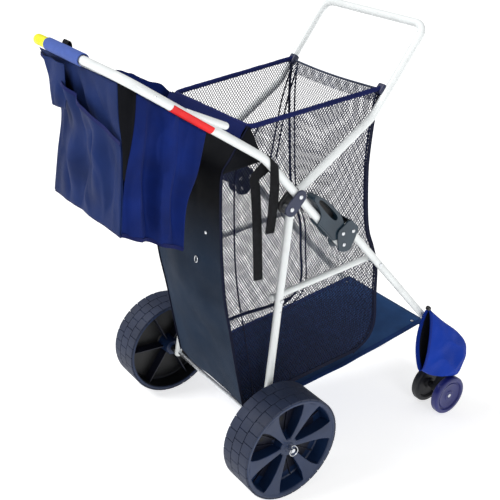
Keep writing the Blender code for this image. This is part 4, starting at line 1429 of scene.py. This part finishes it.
def tote_front(u, v):
    spot = curve_at(TOTE_FRONT_LEFT, v).lerp(curve_at(TOTE_FRONT_RIGHT, v), u)
    spot.y += crease(Vector((spot.x, 2.0, spot.z)), 7.0, 0.024, 8.0) * math.sin(math.pi * u) ** 0.5
    return at(*spot)


def tote_side(side, u, v):
    """A side panel with upright folds: u from the rear to the front edge, v downwards."""
    rear = curve_at(TOTE_SIDE_REAR if side > 0 else TOTE_LEFT, v)
    front = curve_at(TOTE_FRONT_RIGHT if side > 0 else TOTE_FRONT_LEFT, v)
    spot = rear.lerp(front, u)
    inside = math.sin(math.pi * u) ** 0.6
    pleat = math.sin(13.0 * u - 3.0 * v + 1.4)
    pleat = 0.024 * (abs(pleat) ** 0.8 * math.copysign(1.0, pleat)) * (0.30 + 0.70 * v)
    pleat *= min(1.0, 0.35 + 3.5 * (1.0 - v))
    sharp = crease(Vector((0.0, spot.y * 1.5, spot.z * 0.7)), 11.0, 0.020, 3.0 + side)
    spot.x += side * (pleat - 0.009 + sharp) * inside
    spot.x = side * min(abs(spot.x), 0.2150)
    return at(*spot)


def tote_bottom(u, v):
    spot = tote_back(u, 1.0).lerp(tote_front(u, 1.0), v)
    left, right = tote_side(-1, v, 1.0), tote_side(1, v, 1.0)
    spot.x = left.x + (right.x - left.x) * u
    spot.z -= 0.010 * math.sin(math.pi * u) * math.sin(math.pi * v)
    return spot


def tote_pocket(u, v):
    """The outer pocket: its top edge slants down to the right and gapes a little."""
    top = 0.03 + 0.34 * u ** 1.15 + 0.03 * u * math.sin(math.pi * u)
    place = top + (0.99 - top) * v
    base = tote_back(u, place)
    gape = 0.016 * math.sin(math.pi * u) * (1.0 - v) ** 2 + 0.004 * math.sin(math.pi * u) ** 0.5
    fold = crease(Vector((base.x, 5.0, base.z * 0.6)), 12.0, 0.024, 11.0)
    loose = min(1.0, 5.0 * v) * min(1.0, 5.0 * (1.0 - v)) * math.sin(math.pi * u) ** 0.5
    return base + Vector((0.0, -0.003 - gape - max(0.0, fold) * loose, 0.0))


def tote_flap(u, v):
    """A short flap that hangs outside the rear panel at its left end."""
    left = Vector((-0.145, -0.474, 1.094)).lerp(Vector((-0.110, -0.468, 0.990)), v)
    right = Vector((-0.030, -0.474, 1.099)).lerp(Vector((-0.040, -0.468, 0.994)), v)
    spot = left.lerp(right, u)
    spot.y += 0.004 * math.sin(6.0 * u + 3.0 * v) + crease(spot, 16.0, 0.012, 4.0) * v
    return at(*spot)


FAR_TOP = space_curve([
    (-0.2125, -0.290, 1.041), (-0.2125, -0.264, 1.037), (-0.2125, -0.224, 1.029),
    (-0.2125, -0.195, 1.021), (-0.2125, -0.150, 0.998), (-0.2125, -0.120, 0.992),
    (-0.2125, -0.074, 0.960),
])


def tote_far_top(u, v):
    """The left panel's top edge, which stands above the left handle tube."""
    spot = curve_at(FAR_TOP, u)
    spot.x += 0.004 * math.sin(9.0 * u)
    spot.z += ripple(Vector((spot.y, 0.0, 0.0)), 50.0, 0.004, 2.0) * (1.0 - v)
    spot.z -= v * (spot.z - upper_handle(spot.y) + 0.030)
    return at(*spot)


def tote_corner_shade(u, v):
    """Painted shade: a near-black sheet in the gap between the rear panel and the right side, where
    the tote's dark inside shows, drawn in a little.
    """
    place = 0.6 * v
    spot = curve_at(TOTE_RIGHT, place).lerp(curve_at(TOTE_SIDE_REAR, place), u)
    tuck = 0.008 * math.sin(math.pi * u) * (1.0 - v)
    return at(spot.x - tuck, spot.y + tuck, spot.z)


def bunch_up(obj):
    """Gives the piece a mesh of its own."""
    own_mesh(obj)


def build_tote():
    """The tote's panels, its pocket and flap, and the hems along their edges."""
    body = "push_handle"
    slot = "navy_fabric"
    panels = [
        ("tote_rear_panel", tote_back, NAVY, 90, 70),
        ("tote_front_panel", tote_front, ROYAL, 60, 40),
        ("tote_side_right", lambda u, v: tote_side(1, u, v), ROYAL, 80, 60),
        ("tote_side_left", lambda u, v: tote_side(-1, u, v), ROYAL, 60, 40),
        ("tote_bottom", tote_bottom, NAVY, 40, 14),
        ("tote_pocket", tote_pocket, NAVY, 90, 70),
        ("tote_flap", tote_flap, NAVY, 40, 30),
        ("tote_left_top", tote_far_top, ROYAL, 40, 12),
        # Painted shade: the near-black corner sheet stands for the tote's shaded inside.
        ("tote_corner_shade", tote_corner_shade, DARK_CLOTH_AND_SHADE, 8, 40),
    ]
    for name, point, finish, across, down in panels:
        nodes = ["tote_bag"] if name == "tote_rear_panel" else []
        part = piece(name, grid(point, across, down), finish, body, slot, *nodes)
        thicken(part, 0.0013)
        bunch_up(part)
    steps = fractions(40)
    back = Vector((0.0, -1.0, 0.0))
    hems = [
        ("tote_rear_hem", [tote_back(u, 0.995) + back * 0.0012 for u in steps], back),
        ("tote_side_hem", [tote_side(1, u, 0.99) + OUT * 0.0012 for u in steps], OUT),
        ("tote_pocket_hem", [tote_pocket(u, 0.012) + back * 0.0010 for u in steps], back),
    ]
    for name, path, normal in hems:
        bunch_up(piece(name, strip(path, normal, 0.009, 0.0014), PIPING, body, slot))


# --- Pouch --------------------------------------------------------------------------------------

POUCH_LOW = edge_curve([
    (0.562, 0.188), (0.610, 0.158), (0.665, 0.138), (0.732, 0.127), (0.752, 0.180),
])
POUCH_HIGH = edge_curve([
    (0.545, 0.400), (0.617, 0.344), (0.697, 0.288), (0.743, 0.240), (0.753, 0.192),
])


POUCH_X = 0.262
POUCH_OUTER_LIMIT = 0.2935


def pouch_point(outer, u, v):
    """u runs from the mouth to the front, v from the bottom to the top edge."""
    spot = curve_at(POUCH_LOW, u).lerp(curve_at(POUCH_HIGH, u), v)
    across = math.sin(math.pi * v) ** 0.45
    depth = (1.0 - u ** 3) ** 0.5 * (0.8 + 0.2 * math.sin(math.pi * u))
    fold = crease(Vector((0.0, spot.y, spot.z)), 14.0, 0.018, 7.0) * across * min(1.0, 3.0 * u)
    spot.y -= 0.014 * math.sin(math.pi * v) * (1.0 - u) * (0.2 if outer else 1.0)
    if outer:
        x = min(POUCH_X + 0.027 * across * depth + fold, POUCH_OUTER_LIMIT)
    else:
        x = POUCH_X - 0.0185 * across * depth
    return at(x, spot.y, spot.z)


def build_pouch():
    """The pouch for an umbrella's foot: two walls, their lips, a near-black sheet of painted shade
    inside, and a snap.
    """
    for label, outer in (("outer", True), ("inner", False)):
        bm = grid(lambda u, v: pouch_point(outer, u, v), 54, 54)
        nodes = ["umbrella_pouch"] if outer else []
        part = piece(f"pouch_{label}", bm, POUCH_CLOTH, "front_leg", "royal_fabric", *nodes)
        thicken(part, 0.0014)
    steps = fractions(36)
    for label, outer in (("outer", True), ("inner", False)):
        path = [pouch_point(outer, 0.0, v) for v in steps]
        lip = strip(path, OUT, 0.008 if outer else 0.014, 0.0030)
        piece(f"pouch_lip_{label}", lip, POUCH_HEM, "front_leg", "royal_fabric")
    # Painted shade: a near-black sheet just inside the inner wall stands for the shade in the pouch,
    # whose cloth is royal.
    inside_shade = grid(lambda u, v: pouch_point(False, 0.02 + 0.9 * u, v) + OUT * 0.0014, 30, 30)
    piece("pouch_inside_shade", inside_shade, DARK_CLOTH_AND_SHADE, "front_leg", "royal_fabric")
    top = at(0.0, 0.541, 0.404)
    knob = turned(
        [(0.2560, 0.0), (0.2560, 0.0055), (0.2580, 0.0068), (0.2660, 0.0068), (0.2680, 0.0055),
         (0.2680, 0.0)], top, 28,
    )
    piece("pouch_snap", knob, BLACK, "front_leg", "black_plastic")


# --- Straps -------------------------------------------------------------------------------------

def build_strap(side):
    """Webbing over the handle tube, a short tail outside it and a long one inside."""
    outer_x = HANDLE_X + TUBE + 0.0022
    inner_x = HANDLE_X - TUBE - 0.0022
    slope = math.tan(SLOPE)
    axis_z = PIVOT[1] + (STRAP_Y - PIVOT[0]) * slope
    points = [(outer_x, 0.733), (outer_x + 0.001, 0.800), (outer_x, axis_z - 0.004)]
    for k in range(9):
        turn = math.pi * k / 8.0
        radius = TUBE + 0.0020
        rise = radius / math.cos(SLOPE) * math.sin(turn)
        points.append((HANDLE_X + radius * math.cos(turn), axis_z + rise))
    points += [(inner_x, axis_z - 0.004), (inner_x - 0.001, 0.760), (inner_x, 0.598)]
    path = spline([(x, 0.0, z) for x, z in points], 70)
    bm = bmesh.new()
    loops = []
    for k, point in enumerate(path):
        ahead = heading(path, k)
        normal = Vector((ahead.z, 0.0, -ahead.x)).normalized() * STRAP_HALF_THICKNESS
        hang = max(0.0, axis_z - point.z)
        lean = max(0.0, 1.0 - hang / 0.05)
        sway = 0.003 * math.sin(hang * 14.0)
        if point.x < HANDLE_X:
            sway += min(1.0, hang / 0.030) * (0.17 * hang - 0.046)
        loop = []
        for edge, lift in ((-1, 1), (1, 1), (1, -1), (-1, -1)):
            y = STRAP_Y + sway + edge * STRAP_HALF_WIDTH + 0.004 * (1.0 - lean)
            z = point.z + edge * STRAP_HALF_WIDTH * slope * lean
            loop.append(bm.verts.new(at(side * (point.x + lift * normal.x), y, z + lift * normal.z)))
        loops.append(loop)
    skin(bm, loops)
    name = f"strap_{word(side)}"
    piece(f"{name}_webbing", bm, BELT, "push_handle", "black_webbing", name)


# --- CAD nodes that stay ------------------------------------------------------------------------

def refinish():
    """Gives each CAD node that still shows a full material."""
    kept = {"rear_axle": STEEL}
    for side_word in ("right", "left"):
        kept[f"ring_pin_{side_word}"] = STEEL
        kept[f"axle_spacer_{side_word}"] = BLACK
        kept[f"caster_socket_{side_word}"] = BLACK
        kept[f"caster_fork_{side_word}"] = DARK_CASTER
    for node, finish in kept.items():
        obj = frame["nodes"][node]
        obj.material_slots[0].material = finish


# --- Stage --------------------------------------------------------------------------------------

CAMERA_SPOT = at(1.7411, -1.3004, 1.5202)
CAMERA_HEADING = math.radians(51.8575)
CAMERA_DOWN = math.radians(23.2556)
CAMERA_ROLL = math.radians(5.7028)
CAMERA_LENS = 63.03
FLOOR_HALF = 40.0
FLOOR_DROP = 0.0005
FLOOR_GLOW = 0.68
SKY_STRENGTH = 0.40
PURE_WHITE = (1.0, 1.0, 1.0, 1.0)
SUN_TOWARDS = (-0.45, -1.0, 1.15)
SUN_STRENGTH = 2.5
SUN_ANGLE = 24.0
FILL_SPOT = (2.6, -0.4, 1.4)
FILL_TARGET = (0.3, -0.1, 0.3)
FILL_SIZE = 1.2
FILL_POWER = 20.0


def build_camera():
    """The photograph's viewpoint, as fitted to it."""
    right = Vector((math.cos(CAMERA_HEADING), math.sin(CAMERA_HEADING), 0.0))
    ahead = Vector((
        -math.sin(CAMERA_HEADING) * math.cos(CAMERA_DOWN),
        math.cos(CAMERA_HEADING) * math.cos(CAMERA_DOWN),
        -math.sin(CAMERA_DOWN),
    ))
    up = right.cross(ahead)
    turned_right = right * math.cos(CAMERA_ROLL) + up * math.sin(CAMERA_ROLL)
    turned_up = up * math.cos(CAMERA_ROLL) - right * math.sin(CAMERA_ROLL)
    basis = Matrix((turned_right, turned_up, -ahead)).transposed().to_4x4()
    data = bpy.data.cameras.new("camera")
    data.sensor_width = 36.0
    data.lens = CAMERA_LENS
    data.clip_end = 50.0
    camera = bpy.data.objects.new("camera", data)
    camera.matrix_world = Matrix.Translation(CAMERA_SPOT) @ basis
    bpy.context.scene.collection.objects.link(camera)
    bpy.context.scene.camera = camera


def add_light(name, spot, target, size, power):
    data = bpy.data.lights.new(name, "AREA")
    data.shape = "DISK"
    data.size = size
    data.energy = power
    light = bpy.data.objects.new(name, data)
    light.location = spot
    light.rotation_euler = (Vector(target) - Vector(spot)).to_track_quat("-Z", "Y").to_euler()
    bpy.context.scene.collection.objects.link(light)


def add_sun(towards, strength, angle):
    data = bpy.data.lights.new("sun", "SUN")
    data.energy = strength
    data.angle = math.radians(angle)
    light = bpy.data.objects.new("sun", data)
    light.rotation_euler = Vector(towards).to_track_quat("Z", "Y").to_euler()
    bpy.context.scene.collection.objects.link(light)


def build_stage():
    """A pale floor, an even sky, the sun and one fill light."""
    bm = bmesh.new()
    bmesh.ops.create_grid(bm, x_segments=2, y_segments=2, size=FLOOR_HALF)
    floor = new_object("floor", bm)
    floor.location.z = -FLOOR_DROP
    finish = Nodes("floor_paper", 0.9, specular=0.1)
    tone = finish.noise(1.5)
    finish.colour(finish.ramp(tone, [(0.2, (0.60, 0.60, 0.60, 1)), (0.8, (0.63, 0.63, 0.63, 1))]))
    finish.shader.inputs["Emission Color"].default_value = PURE_WHITE
    finish.shader.inputs["Emission Strength"].default_value = FLOOR_GLOW
    floor.data.materials.append(finish.material)
    world = bpy.data.worlds.new("studio")
    world.use_nodes = True
    background = world.node_tree.nodes["Background"]
    background.inputs["Color"].default_value = PURE_WHITE
    background.inputs["Strength"].default_value = SKY_STRENGTH
    bpy.context.scene.world = world
    add_sun(SUN_TOWARDS, SUN_STRENGTH, SUN_ANGLE)
    add_light("fill", FILL_SPOT, FILL_TARGET, FILL_SIZE, FILL_POWER)
    bpy.context.scene.view_settings.view_transform = "Standard"


def main():
    build_camera()
    build_stage()
    build_tubes()
    build_grip()
    for side in (1, -1):
        build_main_pivot(side)
        build_bracket(side)
        build_lever(side)
        build_brace_pins(side)
        build_rear_wheel(side)
        build_caster(side)
        build_strap(side)
    build_bag()
    build_base()
    build_tote()
    build_pouch()
    refinish()


main()
